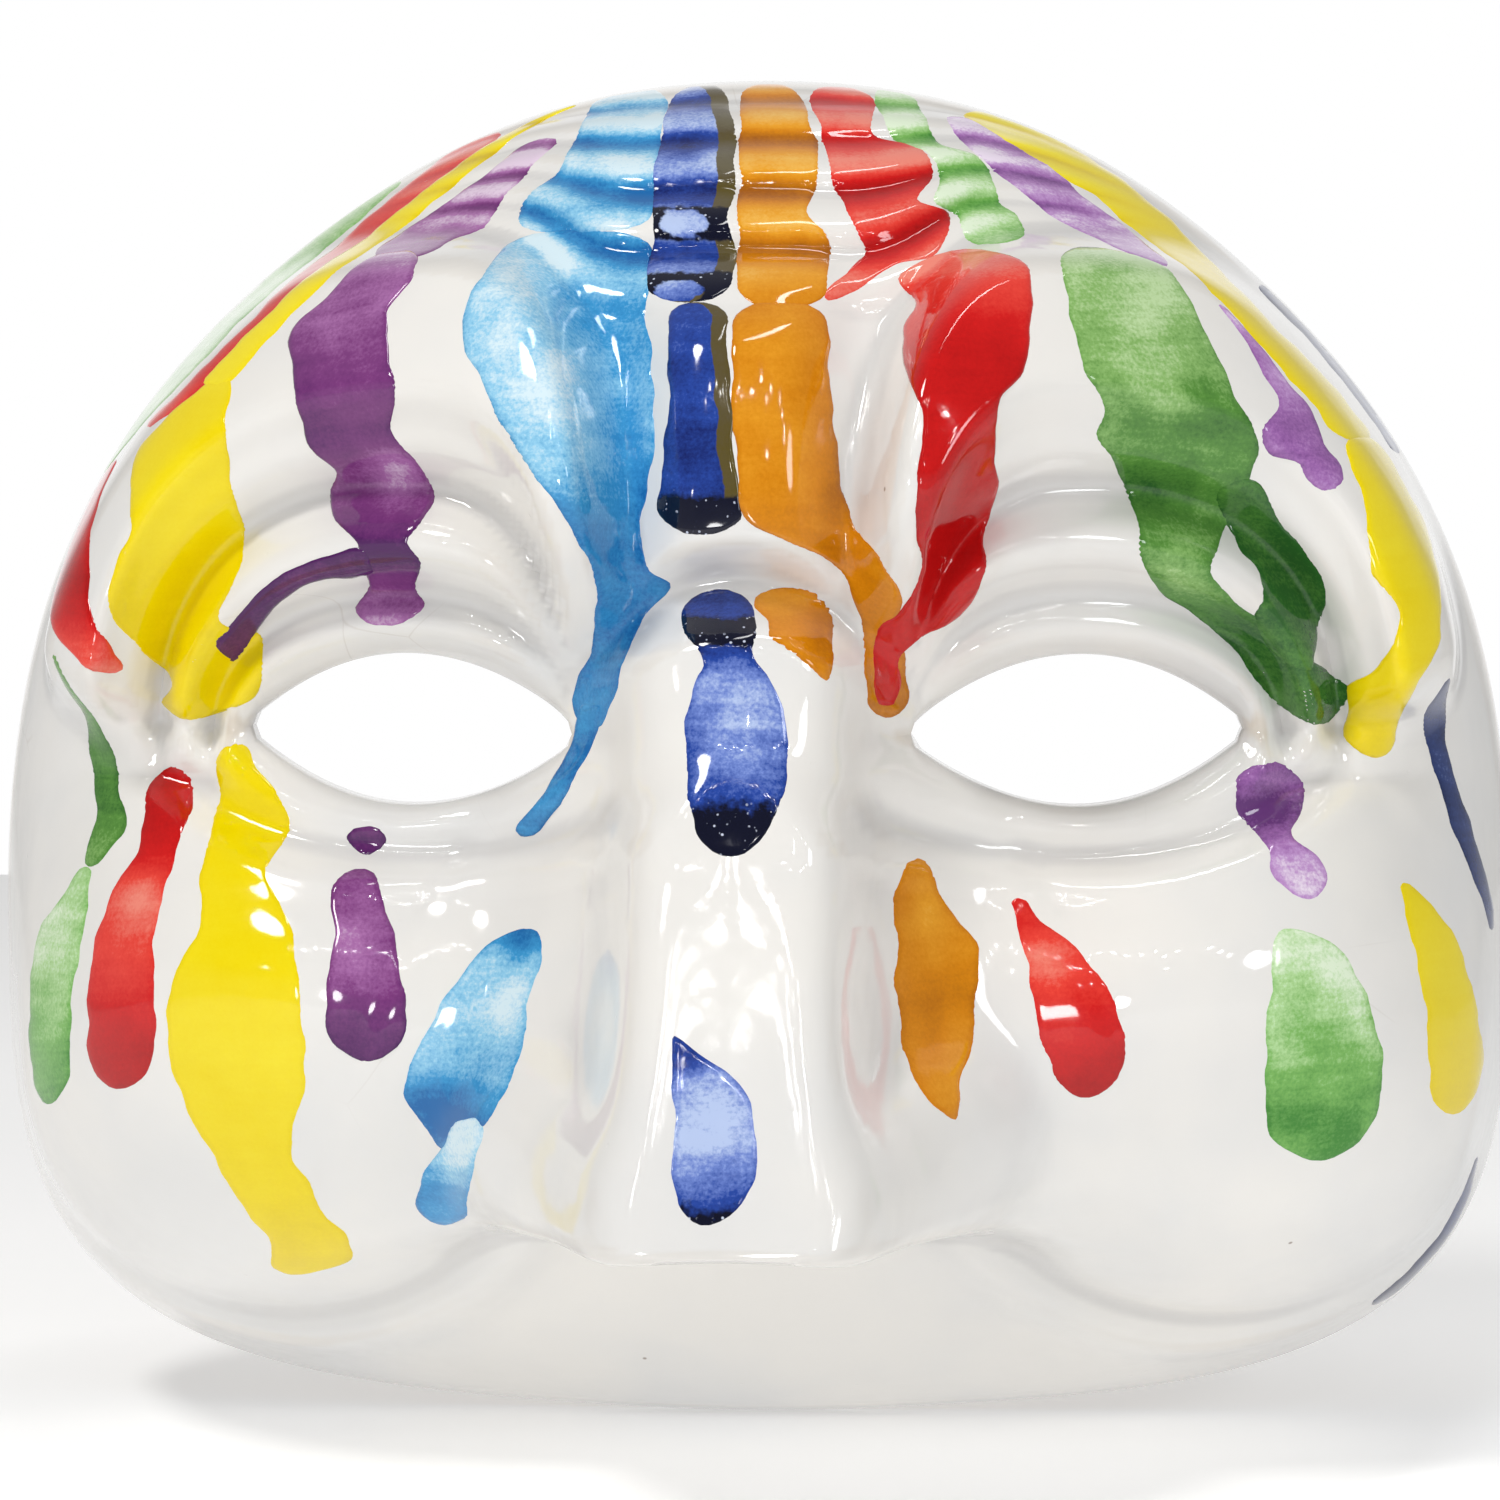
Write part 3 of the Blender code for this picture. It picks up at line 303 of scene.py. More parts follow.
    ("red_right_cheek", "red", (0.5, 0.5, 0.25, 0.35, 0.5, 0.6, 0.75, 0.8), [
        (28, -17, 29.6, -16.8), (28.7, -19.2, 31.4, -19.2), (29.4, -22, 34.8, -21.6),
        (29.9, -25, 37.4, -24.8), (30.6, -28.6, 39.4, -28.4), (31.6, -32.2, 40.2, -32),
        (32.6, -35.2, 39.6, -35), (34.4, -37.6, 37.2, -37.6)]),
    ("green_right_forehead", "leaf", (0.2, 0.35, 0.3, 0.45, 0.4), [
        (12.9, 70.8, 17.5, 70.4), (14.2, 66.6, 19.4, 67), (16.4, 63, 20.6, 63.4), (19.2, 61.8, 25, 61.6),
        (20.8, 58.6, 27, 58.6), (19.8, 56.4, 27.2, 56.6), (22.7, 54.6, 29.4, 54.6),
        (22.8, 52.6, 29.6, 52.2), (22.2, 51.4, 28.6, 51.1)]),
    ("green_right_brow", "green", (0.1, 0.3, 0.36, 0.38, 0.45, 0.8, 0.42, 0.5, 0.75, 0.9, 0.85, 0.8), [
        (33, 51.4, 39.5, 51.3), (33.4, 47, 45.4, 48.6), (33.9, 43, 47.8, 43.6), (34.8, 39, 49.8, 39.4),
        (36, 36.5, 51.6, 35.4), (37.4, 33.4, 53.4, 31.6), (36.6, 31, 54, 29.4), (38.2, 28.7, 53.4, 27.2),
        (40.2, 25.5, 52.2, 23.6), (41.2, 21.4, 50.2, 20.4), (41.5, 18.2, 49.2, 17.4),
        (43.4, 15.2, 51.6, 14), (47.2, 12.6, 55.3, 11.4), (50.7, 9.8, 59, 8.3), (54.8, 4.8, 62.5, 6),
        (58.2, 1.6, 64.6, 3.6), (61, 0, 63.8, 0.8)]),
    ("green_right_arm", "green", (0.75, 0.85, 0.85, 0.8, 0.75), [
        (48.5, 25.6, 53.4, 27.6), (50.6, 22.4, 55.8, 23.4), (52.2, 19.6, 58.5, 20), (54, 17.2, 60.9, 16.8),
        (54.6, 14.4, 61.7, 13.4), (53.6, 11.8, 61.4, 10.6), (55.4, 9.2, 60.8, 8), (57.6, 6.6, 60.8, 5.8)]),
    ("green_right_cheek", "leaf", (0.0, 0.1, 0.3, 0.45, 0.65, 0.9, 0.85), [
        (55.5, -20, 58.6, -20), (55.2, -22.6, 62.6, -22.4), (55, -26.6, 65.4, -26.4),
        (54.6, -31, 67, -30.8), (54.6, -35.6, 67.8, -35.4), (54.9, -39.4, 67.6, -39.6),
        (56, -42.8, 66.2, -43.2), (58.4, -45.4, 63.4, -45.8)]),
    ("lilac_right_forehead", "lilac", (0.15, 0.3, 0.35, 0.35, 0.2), [
        (20.5, 67, 25, 67), (22.4, 64.4, 27.4, 64.6), (25.6, 61, 33, 61.4), (29.2, 58, 36, 58.2),
        (32, 55.4, 40, 55), (37, 52.6, 43.6, 51.8), (41.4, 50.2, 46.2, 48.4)]),
    ("lilac_right_brow", "lilac", (0.1, 0.2, 0.3, 0.65, 0.6, 0.45), [
        (49.8, 45.4, 50.8, 45), (52.4, 41.8, 54.6, 40.8), (54.6, 37.8, 57.6, 36.8), (56, 34.2, 59.8, 34),
        (54.2, 32.2, 60.8, 31.6), (54.6, 29.4, 61.8, 29.6), (58, 28.2, 63.2, 27.6), (59.2, 26.4, 63, 26),
        (60.4, 25.2, 62, 25.2)]),
    ("lilac_right_cheek", "lilac", (0.65, 0.75, 0.9, 0.55, 0.3, 0.2, 0.25), [
        (53.2, -3.2, 58.6, -3.4), (52, -5.4, 59.8, -5.8), (52.3, -8.4, 59.4, -8.6),
        (54.4, -10.8, 58.2, -10.6), (55.4, -12.8, 60.8, -13), (55.7, -15, 61.9, -15.4),
        (57.6, -17.2, 60.8, -17.8)]),
    ("yellow_right_forehead", "yellow", (0.2, 0.45, 0.5, 0.5, 0.5, 0.45), [
        (22.5, 67.4, 27, 68.4), (27, 64.2, 34, 65.4), (31.5, 61, 38.5, 62.2), (37.6, 57.6, 43.6, 58.4),
        (42.4, 53.4, 48, 54), (46.6, 49.4, 52, 49.4), (50.9, 44.9, 55.6, 44.6), (55.4, 39.5, 60.6, 39.8),
        (59.8, 34.8, 65, 35.2), (62.6, 30.4, 69, 30.6)]),
    ("yellow_right_brow", "yellow", (0.45, 0.45, 0.45, 0.5, 0.55, 0.6), [
        (62.4, 31.2, 68.9, 31.4), (65, 25.6, 71.7, 26), (65.5, 21, 73.9, 21.6), (65.8, 16.8, 74.6, 17.6),
        (68.6, 13.6, 74.4, 13.6), (68.6, 10.2, 73.8, 10), (66.4, 6.6, 72.2, 6.6), (64.4, 4.6, 70.8, 4),
        (64.6, 1.6, 70.2, 1), (64.2, -0.8, 70, -1.4), (66, -3.2, 69, -3.5)]),
    ("yellow_right_cheek", "yellow", (0.5, 0.5, 0.4, 0.5, 0.6, 0.65), [
        (69.9, -16.4, 70.8, -16.2), (70.3, -19.4, 74, -19), (71.4, -23.4, 77, -23.4),
        (72.3, -28, 79, -28.4), (72.8, -32.6, 80.3, -33), (73.3, -36.8, 80.9, -37), (74, -40, 80.2, -40.4),
        (75.6, -42.4, 78.6, -42.6)]),
    ("navy_right_forehead", "navy", (0.6, 0.65, 0.6, 0.6), [
        (55.8, 48.2, 58.7, 48.9), (60.8, 43, 63.7, 43.7), (65, 38, 68.5, 38.4), (68.6, 33.2, 71.5, 33.4),
        (70.9, 29.6, 73.4, 29)]),
    ("navy_right_temple", "navy", (0.6, 0.75, 0.7, 0.7, 0.6), [
        (75.2, 5.4, 76, 5.6), (73.2, 1.4, 76.2, 1), (73.6, -2, 76.6, -2.6), (75.2, -6.4, 78, -7.4),
        (76.6, -11, 79.6, -11.6), (78.6, -15.6, 81.2, -16), (80.8, -20.2, 82.6, -20.4),
        (82, -23.6, 82.9, -23.6)]),
    ("navy_right_jaw", "navy", (0.65, 0.65, 0.8, 0.9), [
        (81.6, -49.5, 82.4, -49.8), (80.2, -54, 82, -55), (78.2, -58.4, 80.2, -59.8),
        (75.2, -62.2, 77, -64.2), (71.8, -65.4, 72.9, -67.8), (70.2, -67, 70.8, -68.3)]),
]

# ---- bands along z where the cobalt ran thick and fired black: stroke, middle z, half height
BURNT = {
    "cobalt_forehead": ((53.6, 2.0), (46.2, 2.2)),
    "cobalt_glabella": ((21.8, 3.6),),
    "cobalt_nose_drop": ((11.2, 1.7), (-10.4, 5.6)),
    "cobalt_nose_tip": ((-46.0, 3.2),),
}
# middles of the two pale pools in the forehead run
POOLS_X = -6.4
POOLS_Z = (53.6, 46.0)

# ---- how far amber overlaps a run of cobalt at its right side, millimetres
OVERLAPPED = {"cobalt_forehead": 2.1, "cobalt_glabella": 1.7}

# ---- where a stroke is deeper (+) or paler (-) than along the rest of its run, partly glaze lying thicker and thinner, partly painted shade and painted highlight: x, z, half sizes, amount
SPOTS_OF_GLAZE_AND_PAINTED_LIGHT = {
    "sky_left_brow": (
        (-12.5, 46, 4.5, 9, 0.22), (-19, 35, 4, 5, -0.30), (-23.5, 47, 3, 5, -0.12),
        (-12, 30, 2.5, 6, 0.2)),
    "sky_left_cheek": (
        (-22.3, -21.6, 2.2, 2.6, 0.40), (-30.5, -38.6, 4.8, 3.2, 0.45), (-26, -29, 4, 5, -0.12)),
    "sky_left_drip": ((-29, -42.5, 2.2, 2.4, -0.2),),
    "sky_left_forehead": ((-15, 55.5, 9, 1.6, 0.25),),
    "purple_left_brow": ((-35.5, 27, 3.5, 2.6, -0.22), (-38, 18.6, 5, 1.4, 0.3), (-42, 39, 3, 4, -0.1)),
    "purple_left_cheek": ((-40.5, -23, 2.5, 4, -0.15),),
    "red_right_cheek": ((32, -24, 3.5, 3.2, -0.25),),
    "red_right_brow": ((22, 49, 7, 2.2, -0.2), (22, 43, 4, 3, 0.1)),
    "red_left_cheek": ((-65, -17.5, 3, 2.5, -0.25),),
    "green_right_brow": ((46, 32.2, 8, 1.5, 0.35), (43.5, 46.5, 4.5, 3.5, -0.22), (48, 24, 3, 3, -0.25)),
    "green_right_cheek": (
        (61.5, -41, 4.5, 2.6, 0.12), (56.5, -43, 1.6, 2.5, -0.3), (66.5, -41, 1.2, 4, -0.2)),
    "lilac_right_cheek": ((55.5, -8.4, 3, 2.2, 0.25),),
    "amber_cheek": ((19.5, -17.5, 1.6, 4.5, -0.22), (20, -30, 1.2, 5, 0.15)),
    "amber_nose": ((8.5, 11.5, 1.5, 3, 0.25),),
    "amber_glabella": ((10, 28, 2, 9, 0.2),),
    "cobalt_nose_drop": ((-0.8, 7.2, 4, 2.2, -0.25), (2.5, 1.5, 2.5, 3.5, -0.1)),
    "cobalt_nose_tip": ((-1.5, -35.5, 3, 3.2, -0.06), (-4.5, -30, 1.5, 2.5, 0.2)),
    "cobalt_glabella": ((-4, 33, 3, 5, 0.1),),
}

# ---- strokes that cross another one lie this much higher, millimetres
RAISED = {
    "purple_left_brow": 0.08, "purple_left_arm": 0.16, "red_right_brow": 0.14, "yellow_left_brow": 0.05,
    "sky_left_brow": 0.05, "sky_left_tear": 0.10, "green_right_arm": 0.06, "cobalt_glabella": 0.05,
    "yellow_left_forehead": 0.07, "red_left_brow": 0.08, "amber_glabella": 0.05, "purple_left_cheek": 0.05,
    "sky_left_drip": 0.06, "yellow_right_brow": 0.08,
}


# ---- the relief of the face


def step(low, high, value):
    """Smooth step from 0 at low to 1 at high."""
    t = np.clip((value - low) / (high - low), 0.0, 1.0)
    return t * t * (3.0 - 2.0 * t)


def bump(distance, width):
    """Round hump, 1 at its middle."""
    return np.exp(-((distance / width) ** 2))


def beside(x):
    """Distance from the middle line of the face, rounded off at the middle."""
    return np.sqrt(x * x + 0.6)


def rim_radius(angle):
    """Distance from the middle of the eye line to the back rim, in each direction."""
    along_x = np.cos(angle)
    along_z = np.sin(angle)
    low = np.zeros_like(angle)
    high = np.full_like(angle, 160.0)
    for _ in range(36):
        middle = 0.5 * (low + high)
        x = middle * along_x
        z = middle * along_z - RIM_CENTRE_Z
        up = z > 0
        power = np.where(up, RIM_ROUND_TOP, RIM_ROUND_FOOT)
        reach = np.where(up, RIM_TOP - RIM_CENTRE_Z, RIM_DROP + CHIN_SWELL * bump(x, 26.0))
        inside = (np.abs(x) / RIM_HALF_WIDTH) ** power + (np.abs(z) / reach) ** power < 1.0
        low = np.where(inside, middle, low)
        high = np.where(inside, high, middle)
    # the casting is a little flat at the shoulders of the forehead
    flat = SHOULDER_LEFT * bump(angle - 2.33, 0.42) + SHOULDER_RIGHT * bump(angle - 0.72, 0.36)
    return 0.5 * (low + high) * (1.0 - flat * step(0.0, 0.3, along_z))


def ring_height(s, z):
    """Which fold round the eye a point lies on: the height at which that fold passes over the eye."""
    across = s - EYE_X
    low = np.full_like(s, 0.5)
    high = np.full_like(s, 200.0)
    for _ in range(34):
        b = 0.5 * (low + high)
        a = EYE_HALF_WIDTH + np.where(across < 0, 0.9 * np.maximum(b - 47.0, 0.0), 0.55 * (b - 8.0))
        power = 2.0 + np.where(across < 0, 0.026, 0.012) * np.clip(b - 8.0, 0.0, 42.0)
        inside = (np.abs(across) / a) ** power + (np.abs(z) / b) ** power < 1.0
        high = np.where(inside, b, high)
        low = np.where(inside, low, b)
    return 0.5 * (low + high)


def skull(s, z, rho, angle):
    """The plain dome that the features stand on."""
    up = step(0.1, 0.95, np.sin(angle))
    down = step(0.35, 0.95, -np.sin(angle))
    side = 1.0 - up - down
    bulge = 2.6 * up + 3.6 * side + 2.8 * down
    edge = 1.75 * up + 1.9 * side + 1.6 * down
    height = (37.0 + 17.0 * step(-66.0, 30.0, z)) * (1.0 - 0.13 * step(15.0, 70.0, s))
    return height * np.clip(1.0 - rho**bulge, 0.0, 1.0) ** (1.0 / edge)


def brows(s, z, q):
    """The heavy brow with its folds over the eye; q is the height of a fold over the eye."""
    lowest = -3.0 + 0.011 * np.maximum(s - 50.0, 0.0) ** 2
    above = step(-5.0, 5.0, z - lowest)
    inner = 1.0 - (1.0 - step(6.0, 28.0, z)) * (1.0 - step(17.0, 26.0, s))
    mass = BROW_HEIGHT * step(27.0, 38.5, q) * (1.0 - step(49.0, 55.5, q))
    folds = 2.2 * bump(q - 11.8, 2.3) + 4.2 * bump(q - 21.0, 4.0) + 2.6 * bump(q - 30.5, 2.6)
    grooves = 1.6 * bump(q - 16.0, 1.8) + 1.0 * bump(q - 26.4, 1.8)
    return above * inner * (mass + folds - grooves)


def eyelids(s, z):
    """The socket, the bags under it and the creases at its outer corner."""
    socket = np.exp(-(np.hypot((s - EYE_X) / 26.0, (z + 1.0) / 17.0) ** 3.0))
    around = np.hypot((s - EYE_X) / 2.1, z)
    below = 1.0 - step(-5.0, 0.5, z)
    bag = 1.8 * bump(around - 9.6, 1.8) - 0.8 * bump(around - 13.2, 1.4) + bump(around - 15.8, 1.6)
    outside = step(54.0, 59.0, s) * (1.0 - step(66.0, 78.0, s))
    upper_line = z + 0.5 - 0.10 * (s - 54.0)
    lower_line = z + 6.5 - 0.06 * (s - 52.0)
    creases = 1.6 * bump(upper_line, 1.5) + 1.1 * bump(lower_line, 1.5)
    return below * bag - 8.0 * socket - outside * creases


def glabella(s, z):
    """The flat strip between the brows."""
    strip = np.exp(-((s / 9.5) ** 4.0))
    return 6.0 * strip * step(16.5, 21.0, z + 0.03 * s * s) * (1.0 - step(40.0, 52.0, z))


def cheeks(s, z):
    """Round cheeks, each with a fold under it."""
    ball = 17.0 * np.exp(-(np.hypot((s - 54.0) / 33.0, (z + 38.0) / 28.0) ** 3.0) * 1.1)
    under = np.hypot((s - 54.0) / 34.0, (z + 37.0) / 31.5) * 31.0
    low = 1.0 - step(-60.0, -48.0, z)
    return ball + low * (2.5 * bump(under - 33.5, 2.6) - 1.5 * bump(under - 29.5, 2.0))


def nose(s, z):
    """The blunt nose with its flanks and wings."""
    along = np.clip((NOSE_TOP - z) / (NOSE_TOP - NOSE_TIP), 0.0, 1.0)
    rise = 7.0 + 13.0 * along + 34.0 * along**1.5
    half = 11.6 + 1.5 * along + 2.6 * step(0.6, 1.0, along)
    plane = 1.0 / (1.0 + (s / half) ** 8.0)
    flank = 1.0 / (1.0 + (s / (16.0 + 9.0 * along)) ** 6.0)
    share = 0.66 - 0.16 * along
    root = 1.0 - step(10.0, 16.5, z + 0.03 * s * s)
    foot = step(-54.0, -48.0, z + 0.004 * s * s)
    wing = 7.0 * np.exp(-(np.hypot((s - 21.5) / 8.5, (z + 42.0) / 10.5) ** 4.0))
    return (plane * share + flank * (1.0 - share)) * rise * root * foot + wing * foot


def furrows(s, z, q, rim_gap):
    """Wrinkles across the forehead, from the brows to the rim."""
    centre = 1.0 - step(6.0, 26.0, s)
    beyond = np.maximum((1.0 - centre) * (q - 54.0) + centre * (z - 43.5), 0.0)
    share = beyond / (beyond + rim_gap + 1e-6)
    phase = FURROWS * (1.0 - np.clip(1.0 - share, 0.0, 1.0) ** (1.0 / 1.3))
    ridge = (np.sin(math.pi * phase) ** 2 + 0.012) ** 0.375
    strength = step(4.0, 20.0, beyond + rim_gap) * step(0.0, 2.0, beyond)
    strength = strength * step(0.0, 3.0, rim_gap) * step(0.0, 16.0, z)
    return FURROW_DEPTH * strength * (ridge - 0.7)


def depth_at(x, z):
    """Depth of the glazed surface over each point of the wall plane, millimetres."""
    x = np.asarray(x, dtype=float)
    z = np.asarray(z, dtype=float)
    s = beside(x)
    angle = np.arctan2(z, x)
    radius = rim_radius(angle)
    rho = np.clip(np.hypot(x, z) / radius, 0.0, 1.0)
    rim_gap = (1.0 - rho) * radius
    fade = step(0.0, 8.0, rim_gap)
    q = ring_height(s, np.maximum(z + 1.0, 0.01))
    depth = skull(s, z, rho, angle) + eyelids(s, z) * fade + glabella(s, z) + nose(s, z)
    depth = depth + fade * (brows(s, z, q) + cheeks(s, z)) + furrows(s, z, q, rim_gap)
    return np.maximum(depth, 0.0)


def glazed_depth(x, z):
    """The relief as it is under a coat of glaze, which rounds off every crease."""
    angle = np.arctan2(z, x)
    rim_gap = rim_radius(angle) - np.hypot(x, z)
    sharp = depth_at(x, z)
    soft = 0.25 * sharp
    for turn in range(6):
        side = math.pi * turn / 3.0
        soft = soft + 0.125 * depth_at(x + GLAZE_REACH * math.cos(side), z + GLAZE_REACH * math.sin(side))
    return sharp + (soft - sharp) * step(GLAZE_REACH, 4.0, rim_gap)


def valley_at(x, z):
    """How deep in a furrow of the forehead a point lies: 0 on a ridge, 1 in the crease."""
    s = beside(x)
    angle = np.arctan2(z, x)
    radius = rim_radius(angle)
    rim_gap = np.maximum(radius - np.hypot(x, z), 0.0)
    q = ring_height(s, np.maximum(z + 1.0, 0.01))
    return np.clip(0.5 - furrows(s, z, q, rim_gap) / (0.55 * FURROW_DEPTH), 0.0, 1.0) * step(40.0, 48.0, z)


def inner_depth_at(x, z, wall):
    """Depth of the hollow: the glazed surface moved in by the wall, measured square to it."""
    depth = depth_at(x, z) - wall
    for ring in (0.45, 0.8, 1.0):
        for turn in range(12):
            angle = 2.0 * math.pi * turn / 12.0
            near_x = x + wall * ring * math.cos(angle)
            near_z = z + wall * ring * math.sin(angle)
            outside = np.hypot(near_x, near_z) > rim_radius(np.arctan2(near_z, near_x))
            near = np.where(outside, 0.0, depth_at(near_x, near_z)) - wall * math.sqrt(1.0 - ring * ring)
            depth = np.minimum(depth, near)
    return np.maximum(depth, 0.0)


def eye_open(x):
    """Half-open share of the eye hole at each x: 0 outside it, 1 at its middle."""
    return np.clip(1.0 - ((np.abs(x) - EYE_X) / EYE_HALF_WIDTH) ** 2, 0.0, 1.0)


# ---- helpers for meshes and materials


def to_world(x, depth, z):
    """World points in metres from millimetres on the face."""
    return np.stack([x * MM, -depth * MM, (z - ORIGIN_Z) * MM], axis=-1)


def mesh_object(name, points, faces, paints=()):
    mesh = bpy.data.meshes.new(name)
    mesh.from_pydata([tuple(p) for p in points], [], faces)
    mesh.update()
    for paint in paints:
        mesh.materials.append(paint)
    mesh.shade_smooth()
    made = bpy.data.objects.new(name, mesh)
    bpy.context.scene.collection.objects.link(made)
    return made


def close_up(mesh, sharp_angle, sliver=0.0):
    """Turn every face outward and shade smooth up to an angle; returns how many edges are open."""
    bm = bmesh.new()
    bm.from_mesh(mesh)
    if sliver:
        bmesh.ops.dissolve_degenerate(bm, edges=bm.edges, dist=sliver)
    bmesh.ops.recalc_face_normals(bm, faces=bm.faces)
    if bm.calc_volume(signed=True) < 0:
        bmesh.ops.reverse_faces(bm, faces=bm.faces)
    open_edges = sum(1 for edge in bm.edges if len(edge.link_faces) != 2)
    bm.to_mesh(mesh)
    bm.free()
    mesh.shade_smooth()
    mesh.set_sharp_from_angle(angle=math.radians(sharp_angle))
    return open_edges


def attribute(mesh, name, values, kind="FLOAT", field="value"):
    made = mesh.attributes.new(name, kind, "POINT")
    made.data.foreach_set(field, np.asarray(values, dtype=np.float32).ravel())


class Nodes:
    """Short names for building a node tree."""

    def __init__(self, owner, end):
        owner.use_nodes = True
        self.tree = owner.node_tree
        self.end = self.tree.nodes[end]

    def node(self, kind, **settings):
        made = self.tree.nodes.new(kind)
        for key, value in settings.items():
            setattr(made, key, value)
        return made

    def join(self, out, into):
        self.tree.links.new(out, into)

    def value(self, socket, given):
        if isinstance(given, bpy.types.NodeSocket):
            self.join(given, socket)
        else:
            socket.default_value = given

    def math(self, operation, a, b=0.0, clamp=False):
        made = self.node("ShaderNodeMath", operation=operation, use_clamp=clamp)
        self.value(made.inputs[0], a)
        self.value(made.inputs[1], b)
        return made.outputs[0]

    def spread(self, given, low, high, to_low=0.0, to_high=1.0, curve="SMOOTHSTEP"):
        made = self.node("ShaderNodeMapRange", interpolation_type=curve)
        self.value(made.inputs["Value"], given)
        for name, number in (("From Min", low), ("From Max", high), ("To Min", to_low), ("To Max", to_high)):
            made.inputs[name].default_value = number
        return made.outputs["Result"]

    def blend(self, share, a, b, mode="MIX"):
        made = self.node("ShaderNodeMix", data_type="RGBA", blend_type=mode)
        self.value(made.inputs[0], share)
        self.value(made.inputs[6], (*a, 1.0) if isinstance(a, tuple) else a)
        self.value(made.inputs[7], (*b, 1.0) if isinstance(b, tuple) else b)
        return made.outputs[2]

    def ramp(self, given, stops):
        made = self.node("ShaderNodeValToRGB")
        while len(made.color_ramp.elements) < len(stops):
            made.color_ramp.elements.new(0.5)
        for element, (at, colour) in zip(made.color_ramp.elements, stops):
            element.position = at
            element.color = (*colour, 1.0)
        self.join(given, made.inputs[0])
        return made.outputs[0]


class Paint(Nodes):
    """A material with one principled shader."""

    def __init__(self, name):
        self.material = bpy.data.materials.new(name)
        super().__init__(self.material, "Principled BSDF")

    def attribute(self, name):
        return self.node("ShaderNodeAttribute", attribute_name=name).outputs["Fac"]

    def place(self, scale=(1.0, 1.0, 1.0), from_attribute=None):
        """Object position in millimetres, or a vector attribute, stretched."""
        if from_attribute:
            source = self.node("ShaderNodeAttribute", attribute_name=from_attribute).outputs["Vector"]
            factor = 1.0
        else:
            source = self.node("ShaderNodeTexCoord").outputs["Object"]
            factor = 1.0 / MM
        made = self.node("ShaderNodeMapping")
        made.inputs["Scale"].default_value = [factor * part for part in scale]
        self.join(source, made.inputs["Vector"])
        return made.outputs["Vector"]

    def noise(self, place, scale, detail=2.0, rough=0.5):
        made = self.node("ShaderNodeTexNoise")
        self.join(place, made.inputs["Vector"])
        for name, number in (("Scale", scale), ("Detail", detail), ("Roughness", rough)):
            made.inputs[name].default_value = number
        return made.outputs["Fac"]

    def cells(self, place, scale, feature="F1"):
        made = self.node("ShaderNodeTexVoronoi", feature=feature)
        self.join(place, made.inputs["Vector"])
        made.inputs["Scale"].default_value = scale
        return made.outputs["Distance"]

    def times(self, given, amount):
        return self.math("MULTIPLY", given, amount)

    def stir(self, given, pattern, amount):
        """Push a value up and down by a pattern that runs from 0 to 1."""
        return self.math("ADD", given, self.times(self.math("SUBTRACT", pattern, 0.5), amount))

    def bump(self, height, strength, distance):
        made = self.node("ShaderNodeBump")
        made.inputs["Strength"].default_value = strength
        made.inputs["Distance"].default_value = distance
        self.join(height, made.inputs["Height"])
        self.join(made.outputs[0], self.end.inputs["Normal"])

    def coat_with(self, colour, roughness):
        self.join(colour, self.end.inputs["Base Color"])
        self.join(roughness, self.end.inputs["Roughness"])

    def set(self, **values):
        for name, value in values.items():
            self.end.inputs[name.replace("_", " ")].default_value = value


def glaze_surface(paint):
    """The ripple, pinholes and slight unevenness that all the fired glaze shares; returns the place."""
    place = paint.place()
    ripple = paint.noise(place, 0.11, 2.0, 0.45)
    fine = paint.noise(place, 0.9, 1.0, 0.4)
    pits = paint.spread(paint.cells(place, 0.16), 0.012, 0.05)
    height = paint.math("ADD", paint.times(ripple, 0.9), paint.times(fine, 0.035))
    height = paint.math("ADD", height, paint.times(pits, 0.10))
    paint.bump(height, 0.30, 0.0006)
    return place


def white_glaze():
    paint = Paint("glossy_white_glaze")
    place = glaze_surface(paint)
    cloud = paint.noise(place, 0.028, 3.0, 0.55)
    colour = paint.blend(paint.spread(cloud, 0.35, 0.68), WHITE_WARM, WHITE_COOL)
    # the glaze is thin and shows warmer clay on sharp ridges and at the edges of the eye holes
    thin = paint.math("ADD", paint.attribute("thin"), paint.times(cloud, 0.25))
    colour = paint.blend(paint.spread(thin, 0.45, 1.15, 0.0, 0.75), colour, CLAY_SHOWING)
    # painted shade: the white glaze is greyed in the folds and creases
    colour = paint.blend(paint.spread(paint.attribute("fold"), 0.2, 1.0, 0.0, 0.5), colour, PAINTED_CREASE_GREY)
    craze = paint.spread(paint.cells(place, 0.075, "DISTANCE_TO_EDGE"), 0.0, 0.010, 1.0, 0.0)
    where = paint.spread(paint.noise(place, 0.020, 1.0), 0.60, 0.66)
    colour = paint.blend(paint.times(paint.times(craze, where), 0.30), colour, CRAZE_BROWN)
    speck = paint.spread(paint.cells(place, 0.055), 0.010, 0.020, 1.0, 0.0)
    colour = paint.blend(paint.times(speck, 0.7), colour, SPECK_BROWN)
    rough = paint.spread(paint.noise(place, 0.05, 3.0, 0.6), 0.3, 0.75, 0.045, 0.11)
    paint.coat_with(colour, rough)
    paint.set(IOR=1.5, Coat_Weight=0.15, Coat_Roughness=0.02, Coat_IOR=1.45)
    return paint.material


